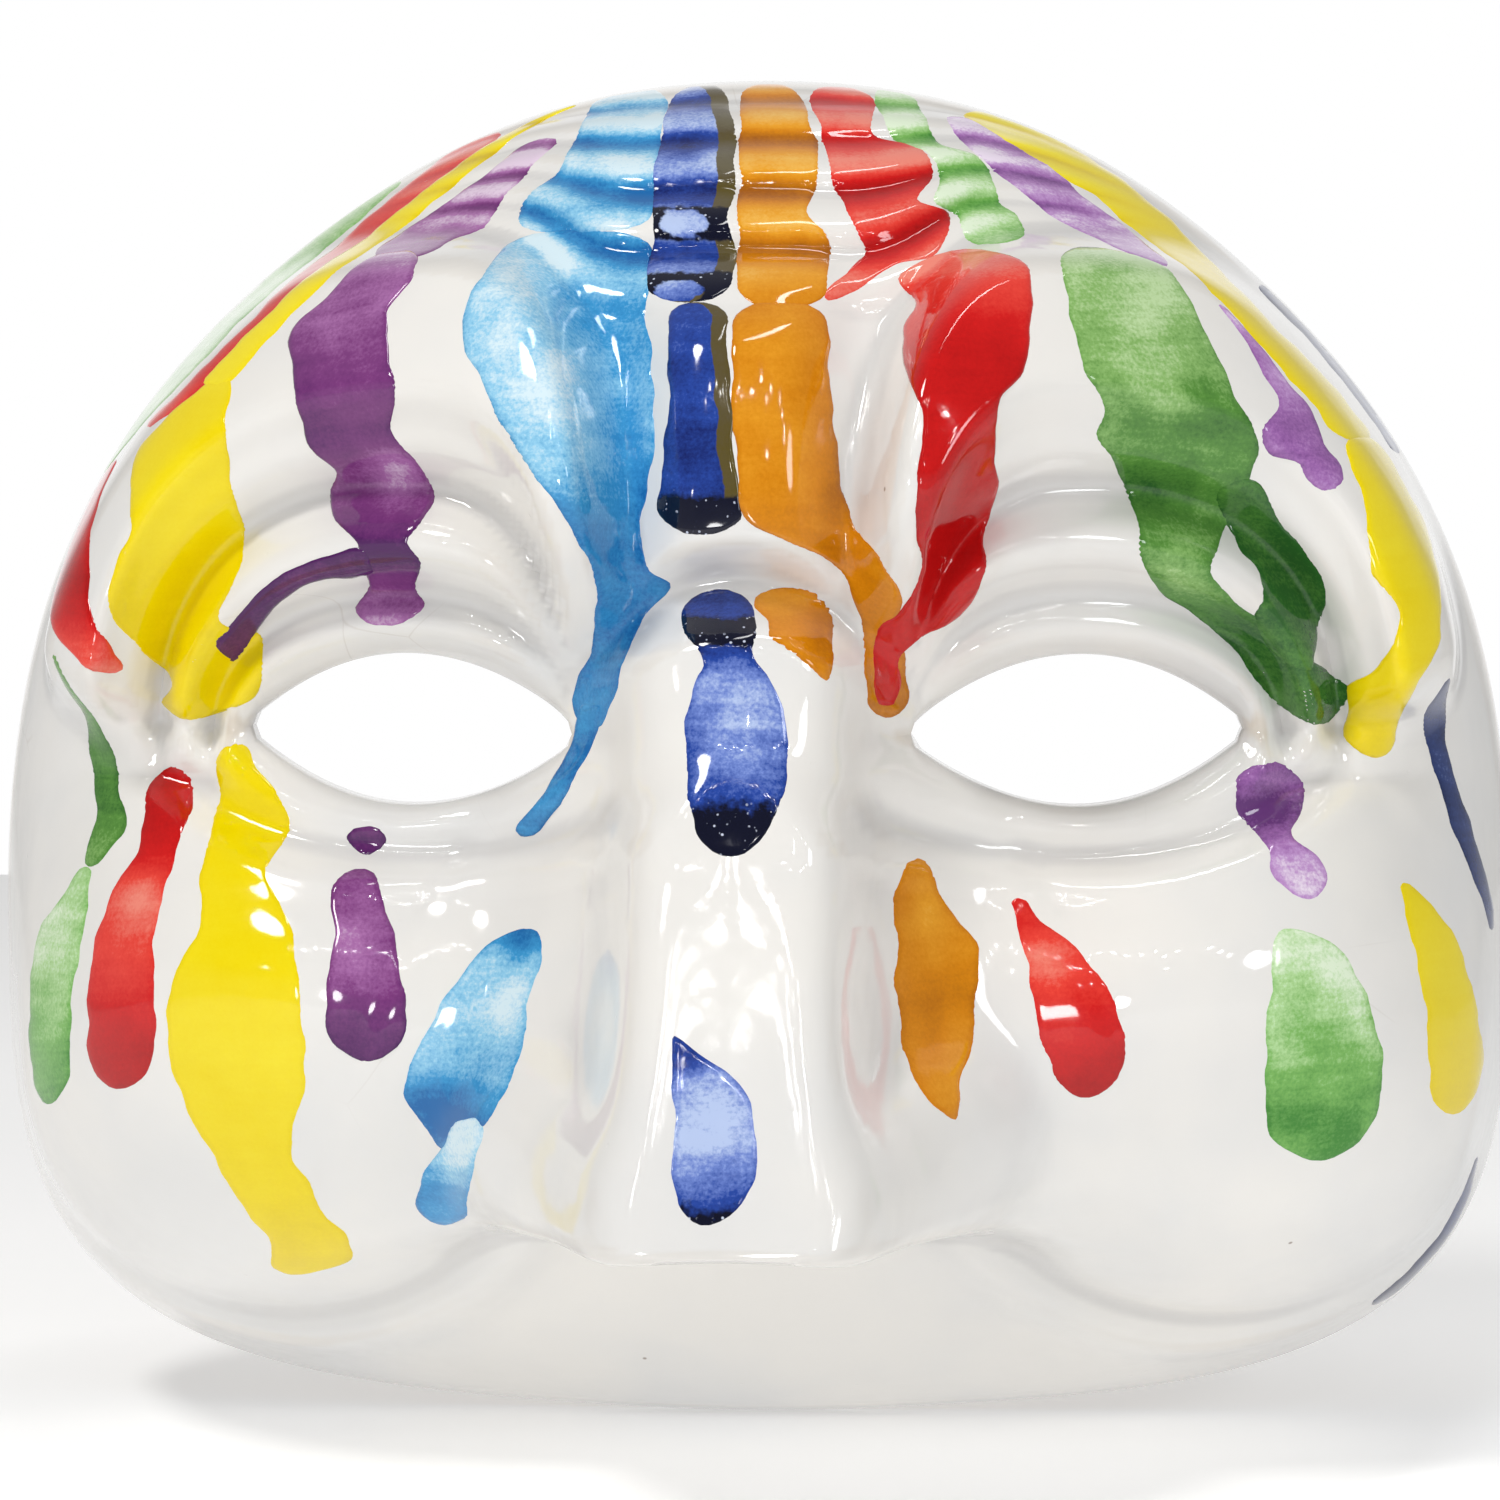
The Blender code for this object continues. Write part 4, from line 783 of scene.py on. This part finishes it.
def thin_glaze():
    """Inside of the hollow: a thin, uneven coat with the clay showing through."""
    paint = Paint("thin_inner_glaze")
    place = paint.place()
    cloud = paint.noise(place, 0.045, 4.0, 0.6)
    colour = paint.blend(paint.spread(cloud, 0.38, 0.62), (0.68, 0.62, 0.54), (0.60, 0.52, 0.43))
    run = paint.noise(paint.place((0.16, 0.16, 0.025)), 1.0, 2.0, 0.5)
    colour = paint.blend(paint.spread(run, 0.50, 0.72, 0.0, 0.7), colour, (0.74, 0.71, 0.665))
    speck = paint.spread(paint.cells(place, 0.09), 0.03, 0.07, 1.0, 0.0)
    colour = paint.blend(paint.times(speck, 0.5), colour, (0.32, 0.22, 0.15))
    paint.coat_with(colour, paint.spread(run, 0.4, 0.75, 0.55, 0.22))
    paint.bump(paint.math("ADD", cloud, paint.times(run, 0.6)), 0.35, 0.0006)
    paint.set(IOR=1.5, Coat_Weight=0.15, Coat_Roughness=0.2)
    return paint.material


def bare_clay():
    """Unglazed, fired clay of the flat rim and the lug."""
    paint = Paint("bare_fired_clay")
    place = paint.place()
    grain = paint.noise(place, 1.6, 4.0, 0.65)
    cloud = paint.noise(place, 0.10, 3.0, 0.5)
    colour = paint.blend(paint.spread(cloud, 0.35, 0.7), (0.66, 0.55, 0.43), (0.56, 0.43, 0.32))
    colour = paint.blend(paint.spread(grain, 0.55, 0.75, 0.0, 0.5), colour, (0.40, 0.29, 0.21))
    paint.coat_with(colour, paint.spread(grain, 0.3, 0.7, 0.80, 0.95))
    paint.bump(grain, 0.5, 0.0002)
    return paint.material


def steel():
    """Drawn wire, a little stained."""
    paint = Paint("drawn_steel_wire")
    place = paint.place()
    stain = paint.noise(place, 0.5, 4.0, 0.6)
    colour = paint.blend(paint.spread(stain, 0.4, 0.75), (0.62, 0.62, 0.64), (0.40, 0.36, 0.32))
    paint.coat_with(colour, paint.spread(stain, 0.3, 0.75, 0.20, 0.45))
    paint.bump(paint.noise(place, 3.0, 3.0, 0.6), 0.25, 0.00006)
    paint.set(Metallic=1.0)
    return paint.material


def burn_cobalt(paint, place, shade):
    """Cobalt runs olive where amber overlaps it, and black where it ran thick, with pale specks in the black
    painted as glints.
    """
    ragged = paint.noise(place, 0.55, 3.0, 0.65)
    over = paint.stir(paint.attribute("olive"), ragged, 0.7)
    shade = paint.blend(paint.spread(over, 0.42, 0.60, 0.0, 0.92), shade, OLIVE)
    burnt = paint.spread(paint.stir(paint.attribute("burnt"), ragged, 0.9), 0.38, 0.66)
    shade = paint.blend(burnt, shade, SOOT)
    # pale specks in the black bands: painted glints
    glint = paint.spread(paint.cells(place, 1.5), 0.16, 0.26, 1.0, 0.0)
    glint = paint.times(glint, paint.spread(paint.noise(place, 0.8, 2.0), 0.50, 0.60))
    return paint.blend(paint.times(glint, burnt), shade, PAINTED_GLINT)


def colour_glaze(colour):
    """One glaze colour: brush streaks along the stroke, pools at its foot, a darker line where it stopped."""
    paint = Paint("painted_" + colour)
    place = glaze_surface(paint)
    tone = paint.attribute("tone")
    streak = paint.noise(paint.place((0.10, 0.85, 1.0), "brush"), 1.0, 3.0, 0.6)
    wash = paint.noise(paint.place((0.15, 0.12, 1.0), "brush"), 1.0, 3.0, 0.55)
    grain = paint.noise(place, 2.4, 2.0, 0.65)
    swing = UNEVEN.get(colour, UNEVEN_OTHERS)
    for pattern, amount in ((streak, 0.55), (wash, 1.5), (grain, 0.75)):
        tone = paint.stir(tone, pattern, amount * swing)
    line = paint.spread(paint.attribute("edge"), 0.0, 0.9, 1.0, 0.0)
    tone = paint.math("ADD", tone, paint.times(line, EDGE_LINE.get(colour, EDGE_LINE_OTHERS)), clamp=True)
    shade = paint.ramp(tone, list(zip(TONE_STOPS, TONES[colour])))
    if colour == "cobalt":
        shade = burn_cobalt(paint, place, shade)
    paint.coat_with(shade, paint.spread(streak, 0.3, 0.75, 0.045, 0.10))
    paint.set(IOR=1.42, Coat_Weight=0.08, Coat_Roughness=0.02, Coat_IOR=1.45)
    return paint.material


# ---- the shell


def grid_places(across, up, shrink):
    """Points of a grid spread over the outline of the rim, pulled in by a distance."""
    u, v = np.meshgrid(across, up)
    disc_x = u * np.sqrt(1.0 - v * v / 2.0)
    disc_z = v * np.sqrt(1.0 - u * u / 2.0)
    rho = np.hypot(disc_x, disc_z)
    angle = np.arctan2(disc_z, disc_x)
    radius = rim_radius(angle) - shrink
    return rho * radius * np.cos(angle), rho * radius * np.sin(angle)


def across_positions(count, shrink):
    """Grid columns from rim to rim, with one on each corner of the eye holes."""
    t = np.linspace(-1.0, 1.0, count)
    across = 0.3 * t + 0.7 * np.sin(0.5 * math.pi * t)
    radius = float(rim_radius(np.zeros(1))[0]) - shrink
    corners = [side * (EYE_X + end * EYE_HALF_WIDTH) / radius for side in (-1, 1) for end in (-1, 1)]
    for corner in corners:
        across[int(np.argmin(np.abs(across - corner)))] = corner
    return across


def up_positions(count, first):
    """Grid rows from the eye line to the rim, closer together at both ends."""
    t = np.linspace(0.0, 1.0, count)
    even = 0.35 * t + 0.65 * np.sin(0.5 * math.pi * t)
    start = first[-1]
    return np.concatenate([np.array(first[:-1]), start + (1.0 - start) * even])


def half_sheet(across, rows, shrink, upper, depth_of, rounding):
    """Half of the face, above or below the eye line, drawn back round the eye holes.

    Returns x, depth, z and how far the edge of the eye hole is rolled in."""
    way = 1.0 if upper else -1.0
    x, z = grid_places(across, way * rows, shrink)
    share = eye_open(x)
    height = (EYE_BLUNT + ((EYE_UPPER if upper else EYE_LOWER) - EYE_BLUNT) * share) * (share > EYE_SHUT)
    pull = np.clip(1.0 - np.abs(z) / EYE_SPREAD, 0.0, 1.0) ** 2
    z = z + way * height * pull
    depth = depth_of(x, z)
    gap = np.maximum(np.abs(z) - height, 0.0) / rounding
    roll = rounding * (1.0 - np.sqrt(1.0 - (1.0 - np.clip(gap, 0.0, 1.0)) ** 2))
    return x, depth, z, roll * step(0.0, 0.12, share)


class ShellMesh:
    """Points and faces of the shell, filled in skin by skin."""

    def __init__(self):
        self.points = []
        self.faces = []
        self.slots = []
        self.skins = {}

    def add_face(self, face, flip, slot):
        self.faces.append(face[::-1] if flip else face)
        self.slots.append(slot)

    def number(self, x, depth, z, upper_half):
        """Numbers for the points of half a skin; the halves share the eye line where no eye is open."""
        ids = np.zeros(x.shape, dtype=int)
        for j, i in np.ndindex(x.shape):
            if upper_half is not None and j == 0 and eye_open(x[0, i]) <= EYE_SHUT:
                ids[j, i] = upper_half[0, i]
                continue
            ids[j, i] = len(self.points)
            self.points.append((x[j, i], depth[j, i], z[j, i]))
        return ids

    def add_skin(self, name, columns, rows, shrink, depth_of, rounding, outward, slot):
        """The glazed outside or the hollow inside: its halves above (True) and below the eye line."""
        across = across_positions(columns, shrink)
        halves = {True: None}
        for upper in (True, False):
            x, depth, z, roll = half_sheet(across, rows, shrink, upper, depth_of, rounding)
            depth = depth - (roll if outward else -roll)
            depth[-1, :] = 0.0
            depth[:, 0] = 0.0
            depth[:, -1] = 0.0
            ids = self.number(x, depth, z, halves[True])
            halves[upper] = ids
            flip = outward != upper
            for j, i in np.ndindex(ids.shape[0] - 1, ids.shape[1] - 1):
                face = (ids[j, i], ids[j, i + 1], ids[j + 1, i + 1], ids[j + 1, i])
                self.add_face(face, flip, slot)
        self.skins[name] = halves

    def zip_up(self, first, first_at, second, second_at, flip, slot):
        """Triangles between two lines of points with different spacing."""
        i = 0
        j = 0
        while i < len(first) - 1 or j < len(second) - 1:
            if j == len(second) - 1 or (i < len(first) - 1 and first_at[i + 1] <= second_at[j + 1]):
                face = (first[i], first[i + 1], second[j])
                i += 1
            else:
                face = (first[i], second[j + 1], second[j])
                j += 1
            self.add_face(face, flip, slot)

    def wall_eyes(self):
        """The walls of the eye holes, from skin to skin."""
        for side in (-1.0, 1.0):
            low = side * EYE_X - EYE_HALF_WIDTH - NEAR
            high = side * EYE_X + EYE_HALF_WIDTH + NEAR
            for upper in (True, False):
                lines = []
                for halves in self.skins.values():
                    row = halves[upper][0]
                    at = np.array([self.points[k][0] for k in row])
                    chosen = np.where((at >= low) & (at <= high))[0]
                    lines += [[int(row[k]) for k in chosen], at[chosen]]
                self.zip_up(*lines, not upper, GLAZED)

    def wall_rim(self):
        """The flat rim that lies on the wall."""
        lines = []
        for halves in self.skins.values():
            upper = halves[True]
            lower = halves[False]
            sides = (upper[:, -1], upper[-1, -2::-1], upper[-2::-1, 0],
                     lower[1:, 0], lower[-1, 1:], lower[-2::-1, -1])
            loop = [int(k) for side in sides for k in side]
            turn = np.unwrap([math.atan2(self.points[k][2], self.points[k][0]) for k in loop])
            lines += [loop, turn]
        self.zip_up(*lines, True, BARE)


def mark_wear_and_crease_shade(mesh):
    """Attributes for the glaze: where it is thin, and how deep in a fold a point lies, where the white glaze
    is greyed as painted shade.
    """
    place = np.empty(len(mesh.vertices) * 3)
    mesh.vertices.foreach_get("co", place)
    place = place.reshape(-1, 3) / MM
    x = place[:, 0]
    z = place[:, 2] + ORIGIN_Z
    here = depth_at(x, z)
    turns = np.arange(8) * math.pi / 4
    around = sum(depth_at(x + WEAR_REACH * math.cos(a), z + WEAR_REACH * math.sin(a)) for a in turns) / 8
    hump = np.clip((here - around) / 0.9, -1.0, 1.0)
    share = eye_open(x)
    opening = (EYE_BLUNT + (np.where(z > 0, EYE_UPPER, EYE_LOWER) - EYE_BLUNT) * share) * (share > 0)
    near_eye = bump(np.maximum(np.abs(z) - opening, 0.0), 1.0) * (share > 0)
    corner = bump(np.hypot(np.abs(beside(x) - EYE_X) - EYE_HALF_WIDTH - 0.8, 1.2 * z), 1.7)
    rim_gap = rim_radius(np.arctan2(z, x)) - np.hypot(x, z)
    thin = 0.55 * np.maximum(hump, 0.0) ** 2 + 0.35 * near_eye + 0.9 * corner + 0.5 * bump(rim_gap, 1.2)
    attribute(mesh, "thin", thin)
    # fold: how deep in a crease a point lies; the white glaze greys it there as painted shade
    attribute(mesh, "fold", np.clip(-hump, 0.0, 1.0))


def make_shell():
    def hollow(x, z):
        return inner_depth_at(x, z, WALL)

    body = ShellMesh()
    body.add_skin("outside", COLUMNS, up_positions(ROWS, EYE_ROWS), 0.0, glazed_depth,
                  EYE_EDGE_ROUND, True, GLAZED)
    body.add_skin("inside", (COLUMNS + 1) // 2, up_positions(ROWS // 2, (*EYE_ROWS[::3], 0.02)), WALL, hollow,
                  EYE_BACK_ROUND, False, HOLLOW)
    body.wall_eyes()
    body.wall_rim()
    places = np.array(body.points, dtype=float)
    paints = {GLAZED: white_glaze(), HOLLOW: thin_glaze(), BARE: bare_clay()}
    shell = mesh_object("glazed_shell", to_world(*places.T), body.faces, paints.values())
    shell.data.polygons.foreach_set("material_index", np.array(body.slots, dtype=np.int32))
    open_edges = close_up(shell.data, 60.0, SLIVER)
    print("shell: open edges", open_edges, "faces", len(shell.data.polygons))
    mark_wear_and_crease_shade(shell.data)
    return shell


# ---- the strokes of glaze


def smooth_rows(rows, spacing):
    """Outline rows at an even spacing on smooth curves through the given ones."""
    rows = np.array(rows, dtype=float)
    middle = 0.5 * (rows[:, :2] + rows[:, 2:])
    length = np.concatenate([[0.0], np.cumsum(np.hypot(*np.diff(middle, axis=0).T))])
    slope = np.gradient(rows, length, axis=0)
    count = max(6, int(round(length[-1] / spacing)) + 1)
    at = np.linspace(0.0, length[-1], count)
    k = np.clip(np.searchsorted(length, at, side="right") - 1, 0, len(length) - 2)
    gap = (length[k + 1] - length[k])[:, None]
    f = (at - length[k])[:, None] / gap
    start = (2 * f**3 - 3 * f**2 + 1) * rows[k] + (f**3 - 2 * f**2 + f) * gap * slope[k]
    end = (3 * f**2 - 2 * f**3) * rows[k + 1] + (f**3 - f**2) * gap * slope[k + 1]
    return start + end, at


def wobble(at, seed):
    """Uneven line of a hand-painted edge, from about -1 to 1."""
    rng = np.random.default_rng(seed)
    total = np.zeros_like(at)
    for wave, share in ((13.0, 0.7), (6.4, 0.8), (3.4, 0.4), (1.6, 0.14)):
        length = wave * rng.uniform(0.85, 1.15)
        total += share * np.sin(2.0 * math.pi * at / length + rng.uniform(0.0, 6.28))
    return total


def stroke_grid(order, outline):
    """A stroke on the wall plane, a row for each step along it, with uneven sides and rounded ends.

    Returns x, z, how far along each row lies, half the width of each, and the place across, -1 to 1."""
    rows, at = smooth_rows(outline, GLAZE_CELL)
    left = rows[:, :2]
    right = rows[:, 2:]
    across = right - left
    width = np.linalg.norm(across, axis=1, keepdims=True)
    unit = across / np.maximum(width, 1e-6)
    rough = np.minimum(WOBBLE_MOST, WOBBLE_SHARE * width[:, 0])
    left = left + unit * (wobble(at, LEFT_SEED + SEED_STEP * order) * rough)[:, None]
    right = right + unit * (wobble(at, RIGHT_SEED + SEED_STEP * order) * rough)[:, None]
    middle = 0.5 * (left + right)
    half = 0.5 * (right - left)
    size = np.minimum(END_SHARE * width[:, 0], END_MOST)
    for from_end in (at, at[-1] - at):
        share = np.clip(from_end / np.maximum(size, 0.3), 0.0, 1.0)
        half = half * np.maximum(np.sqrt(1.0 - (1.0 - share) ** 2), 0.16)[:, None]
    columns = int(np.clip(round(width.max() / GLAZE_CELL), 4, 34)) + 1
    even = np.linspace(-1.0, 1.0, columns)
    v = np.sin(0.5 * math.pi * even) * 0.35 + even * 0.65
    grid = middle[:, None, :] + half[:, None, :] * v[None, :, None]
    # no stroke reaches past the rim
    out = np.hypot(grid[..., 0], grid[..., 1])
    limit = rim_radius(np.arctan2(grid[..., 1], grid[..., 0])) - RIM_CLEAR
    grid = grid * np.minimum(limit / out, 1.0)[..., None]
    return grid[..., 0], grid[..., 1], at[:, None], np.linalg.norm(half, axis=1)[:, None], v[None, :]


def on_shell(shell_tree, x, z):
    """Points of the shell under a stroke, and the directions square to it, in millimetres."""
    depth = np.zeros_like(x)
    for spot in np.ndindex(x.shape):
        start = Vector((x[spot] * MM, -0.15, (z[spot] - ORIGIN_Z) * MM))
        hit = shell_tree.ray_cast(start, Vector((0.0, 1.0, 0.0)), 0.2)[0]
        depth[spot] = depth_at(x[spot], z[spot]) if hit is None else -hit.y / MM
    by_x = (depth_at(x + SLOPE_REACH, z) - depth_at(x - SLOPE_REACH, z)) / (2.0 * SLOPE_REACH)
    by_z = (depth_at(x, z + SLOPE_REACH) - depth_at(x, z - SLOPE_REACH)) / (2.0 * SLOPE_REACH)
    steep = np.maximum(np.hypot(by_x, by_z) / STEEPEST, 1.0)
    normal = np.stack([-by_x / steep, np.ones_like(by_x), -by_z / steep], axis=-1)
    normal = normal / np.linalg.norm(normal, axis=-1, keepdims=True)
    return np.stack([x, depth, z], axis=-1), normal


def closed_sheet(count, columns):
    """Faces of a sheet with a top, an underside and an edge all round."""
    top = count * columns
    faces = []
    for j, i in np.ndindex(count - 1, columns - 1):
        k = j * columns + i
        a, b, c, d = k, k + 1, k + columns + 1, k + columns
        faces.append((a, b, c, d))
        faces.append((top + a, top + d, top + c, top + b))
    ring = list(range(columns)) + [j * columns + columns - 1 for j in range(1, count)]
    ring += [(count - 1) * columns + i for i in range(columns - 2, -1, -1)]
    ring += [j * columns for j in range(count - 2, 0, -1)]
    for n, k in enumerate(ring):
        after = ring[(n + 1) % len(ring)]
        faces.append((after, k, top + k, top + after))
    return faces


def stroke_shades(name, tones, x, z, at):
    """How deep the colour is, and how burnt, at each point of a stroke."""
    run = at[:, 0] / at[-1, 0]
    tone = np.interp(run, np.linspace(0.0, 1.0, len(tones)), tones)[:, None] + np.zeros_like(x)
    tone = tone + 0.75 * (valley_at(x, z) - 0.5) * step(44.0, 50.0, z)
    # deeper and paler spots: partly thicker and thinner glaze, partly painted shade and painted highlight
    for spot_x, spot_z, half_x, half_z, amount in SPOTS_OF_GLAZE_AND_PAINTED_LIGHT.get(name, ()):
        tone = tone + amount * bump(np.hypot((x - spot_x) / half_x, (z - spot_z) / half_z), 1.0)
    burnt = np.zeros_like(x)
    for middle_z, half_z in BURNT.get(name, ()):
        burnt = np.maximum(burnt, np.exp(-(((z - middle_z) / half_z) ** (2 if "nose" in name else 4))))
    if name == "cobalt_forehead":
        # rings of thick glaze with pale blue middles in the two lowest furrows
        for ring_z in POOLS_Z:
            away = np.hypot((x - POOLS_X) / 3.4, (z - ring_z) / 1.7)
            burnt = burnt * step(0.55, 1.0, away)
            tone = tone - 0.06 * (1.0 - step(0.4, 0.9, away))
    return tone, burnt


def make_stroke(order, name, tones, outline, shell_tree, paint):
    x, z, at, half_width, v = stroke_grid(order, outline)
    flat = np.zeros_like(x)
    inside = np.minimum(half_width * (1.0 - np.abs(v)), np.minimum(at, at[-1] - at))
    surface, normal = on_shell(shell_tree, x, z)
    lift = (GLAZE_THICK - GLAZE_SUNK) * (1.0 - np.exp(-inside / GLAZE_ROUND)) + GLAZE_SUNK
    lift = lift + RAISED.get(name, 0.0) * (inside > 0)
    over = surface + normal * lift[..., None]
    under = surface - normal * GLAZE_UNDER
    points = np.concatenate([over.reshape(-1, 3), under.reshape(-1, 3)])
    made = mesh_object("glaze_run_" + name, to_world(*points.T), closed_sheet(*x.shape), (paint,))
    close_up(made.data, 70.0)

    tone, burnt = stroke_shades(name, tones, x, z, at)
    olive = flat
    if name in OVERLAPPED:
        olive = 1.0 - step(OVERLAPPED[name] - 0.5, OVERLAPPED[name] + 0.5, half_width * (1.0 - v))
    for key, values in (("tone", tone), ("edge", inside), ("burnt", burnt), ("olive", olive)):
        attribute(made.data, key, [values, values])
    brush = np.stack([half_width * v, at + flat, BRUSH_APART * order + flat], axis=-1)
    attribute(made.data, "brush", [brush, brush], "FLOAT_VECTOR", "vector")
    return made


# ---- the ring; the lug keeps its CAD shape


def make_ring():
    turn = np.linspace(0.0, 2.0 * math.pi, RING_STEPS, endpoint=False)[:, None]
    roll = np.linspace(0.0, 2.0 * math.pi, WIRE_STEPS, endpoint=False)[None, :]
    reach = RING_RADIUS + RING_WIRE * np.cos(roll)
    x = reach * np.cos(turn)
    z = LUG_HOLE_Z - RING_RADIUS + reach * np.sin(turn)
    depth = LUG_DEPTH + RING_WIRE * np.sin(roll) + 0.0 * turn
    faces = []
    for k, n in np.ndindex(RING_STEPS, WIRE_STEPS):
        here = k * WIRE_STEPS
        after = (k + 1) % RING_STEPS * WIRE_STEPS
        other = (n + 1) % WIRE_STEPS
        faces.append((here + n, here + other, after + other, after + n))
    ring = mesh_object("steel_ring", to_world(x.ravel(), depth.ravel(), z.ravel()), faces, (steel(),))
    close_up(ring.data, 60.0)
    return ring


# ---- studio


def area_light(name, at, size, power, colour=(1.0, 1.0, 1.0)):
    light = bpy.data.lights.new(name, "AREA")
    light.shape = "ELLIPSE"
    light.size, light.size_y = size
    light.energy = power
    light.color = colour
    made = bpy.data.objects.new(name, light)
    made.location = at
    made.rotation_mode = "QUATERNION"
    made.rotation_quaternion = (Vector(LIGHTS_TOWARD) - Vector(at)).to_track_quat("-Z", "Y")
    bpy.context.scene.collection.objects.link(made)


def make_floor(lowest):
    """A pale sheet at the foot of the mask that glows a little, so that it meets the white backdrop."""
    paint = Paint("pale_floor")
    cloud = paint.noise(paint.place((0.004, 0.004, 0.004)), 1.0, 2.0)
    paint.join(paint.blend(cloud, (0.86, 0.86, 0.86), (0.90, 0.90, 0.90)), paint.end.inputs["Base Color"])
    paint.set(Roughness=0.8, Emission_Color=(1.0, 1.0, 1.0, 1.0), Emission_Strength=0.30)
    corners = [(x * FLOOR_HALF, y * FLOOR_HALF, lowest) for x, y in ((-1, -1), (1, -1), (1, 1), (-1, 1))]
    floor = mesh_object("floor", corners, [(0, 1, 2, 3)], (paint.material,))
    floor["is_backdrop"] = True


def make_world():
    """Dark toward the room, white behind the mask, paler low down so the floor's edge leaves no line."""
    world = bpy.data.worlds.new("studio")
    bpy.context.scene.world = world
    sky = Nodes(world, "Background")
    parts = sky.node("ShaderNodeSeparateXYZ")
    sky.join(sky.node("ShaderNodeTexCoord").outputs["Generated"], parts.inputs[0])
    backward = sky.spread(parts.outputs["Y"], -1.0, 1.0, curve="LINEAR")
    stops = [(0.30, (0.16, 0.158, 0.155)), (0.92, (0.42, 0.42, 0.42)), (0.972, (1.0, 1.0, 1.0))]
    shade = sky.ramp(backward, stops)
    low = sky.spread(parts.outputs["Z"], 0.0, 0.5, 0.55, 0.0)
    sky.join(sky.blend(1.0, low, shade, "LIGHTEN"), sky.end.inputs["Color"])
    sky.end.inputs["Strength"].default_value = 1.0


def make_lights():
    area_light("key_softbox", (-0.36, -0.42, 0.62), (0.18, 0.18), 2.75, (1.0, 0.985, 0.96))
    area_light("fill_softbox", (0.55, -0.55, 0.26), (0.14, 0.20), 0.85, (0.95, 0.975, 1.0))
    area_light("front_softbox", (-0.14, -0.90, -0.02), (0.14, 0.14), 1.35)
    area_light("top_strip", (0.10, -0.12, 0.62), (0.42, 0.05), 0.9)
    # a row and a cluster of small ceiling lamps, seen as points in the gloss
    lamps = [(-0.20 + 0.05 * n, -0.54 + 0.02 * (n % 2), 0.40 + 0.03 * (n % 3), 0.035) for n in range(8)]
    lamps += [(0.28 + 0.04 * n, -0.50, 0.40 - 0.05 * n, 0.05) for n in range(3)]
    lamps += [(-0.34, -0.50, 0.12, 0.05), (0.12, -0.60, 0.27, 0.05)]
    for n, (x, y, z, power) in enumerate(lamps):
        area_light(f"lamp_{n}", (x, y, z), (LAMP_SIZE, LAMP_SIZE), power)


def make_camera():
    data = bpy.data.cameras.new("camera")
    data.sensor_width = 36.0
    data.lens = CAMERA_LENS
    camera = bpy.data.objects.new("camera", data)
    azimuth = math.radians(CAMERA_AZIMUTH)
    elevation = math.radians(CAMERA_ELEVATION)
    level = math.cos(elevation)
    back = Vector((math.sin(azimuth) * level, -math.cos(azimuth) * level, math.sin(elevation)))
    camera.location = Vector(CAMERA_TARGET) + CAMERA_DISTANCE * back
    camera.rotation_mode = "QUATERNION"
    camera.rotation_quaternion = (-back).to_track_quat("-Z", "Y")
    bpy.context.scene.collection.objects.link(camera)
    bpy.context.scene.camera = camera


def main():
    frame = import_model()
    cad_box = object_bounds()
    bpy.context.scene.view_settings.view_transform = "Standard"

    shell = make_shell()
    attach(shell, "mask")
    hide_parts("mask_shell")
    bpy.context.view_layer.update()
    shell_tree = BVHTree.FromObject(shell, bpy.context.evaluated_depsgraph_get())
    paints = {colour: colour_glaze(colour) for colour in TONES}
    for order, (name, colour, tones, outline) in enumerate(STROKES):
        stroke = make_stroke(order, name, tones, outline, shell_tree, paints[colour])
        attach(stroke, "mask")
        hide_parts("glaze_" + name)
    clay = bare_clay()
    for spot in frame["nodes"]["hanging_lug"].material_slots:
        spot.material = clay
    ring = make_ring()
    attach(ring, "ring")
    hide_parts("hanging_ring")

    make_floor(min(cad_box[0].z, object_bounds()[0].z))
    make_world()
    make_lights()
    make_camera()


main()
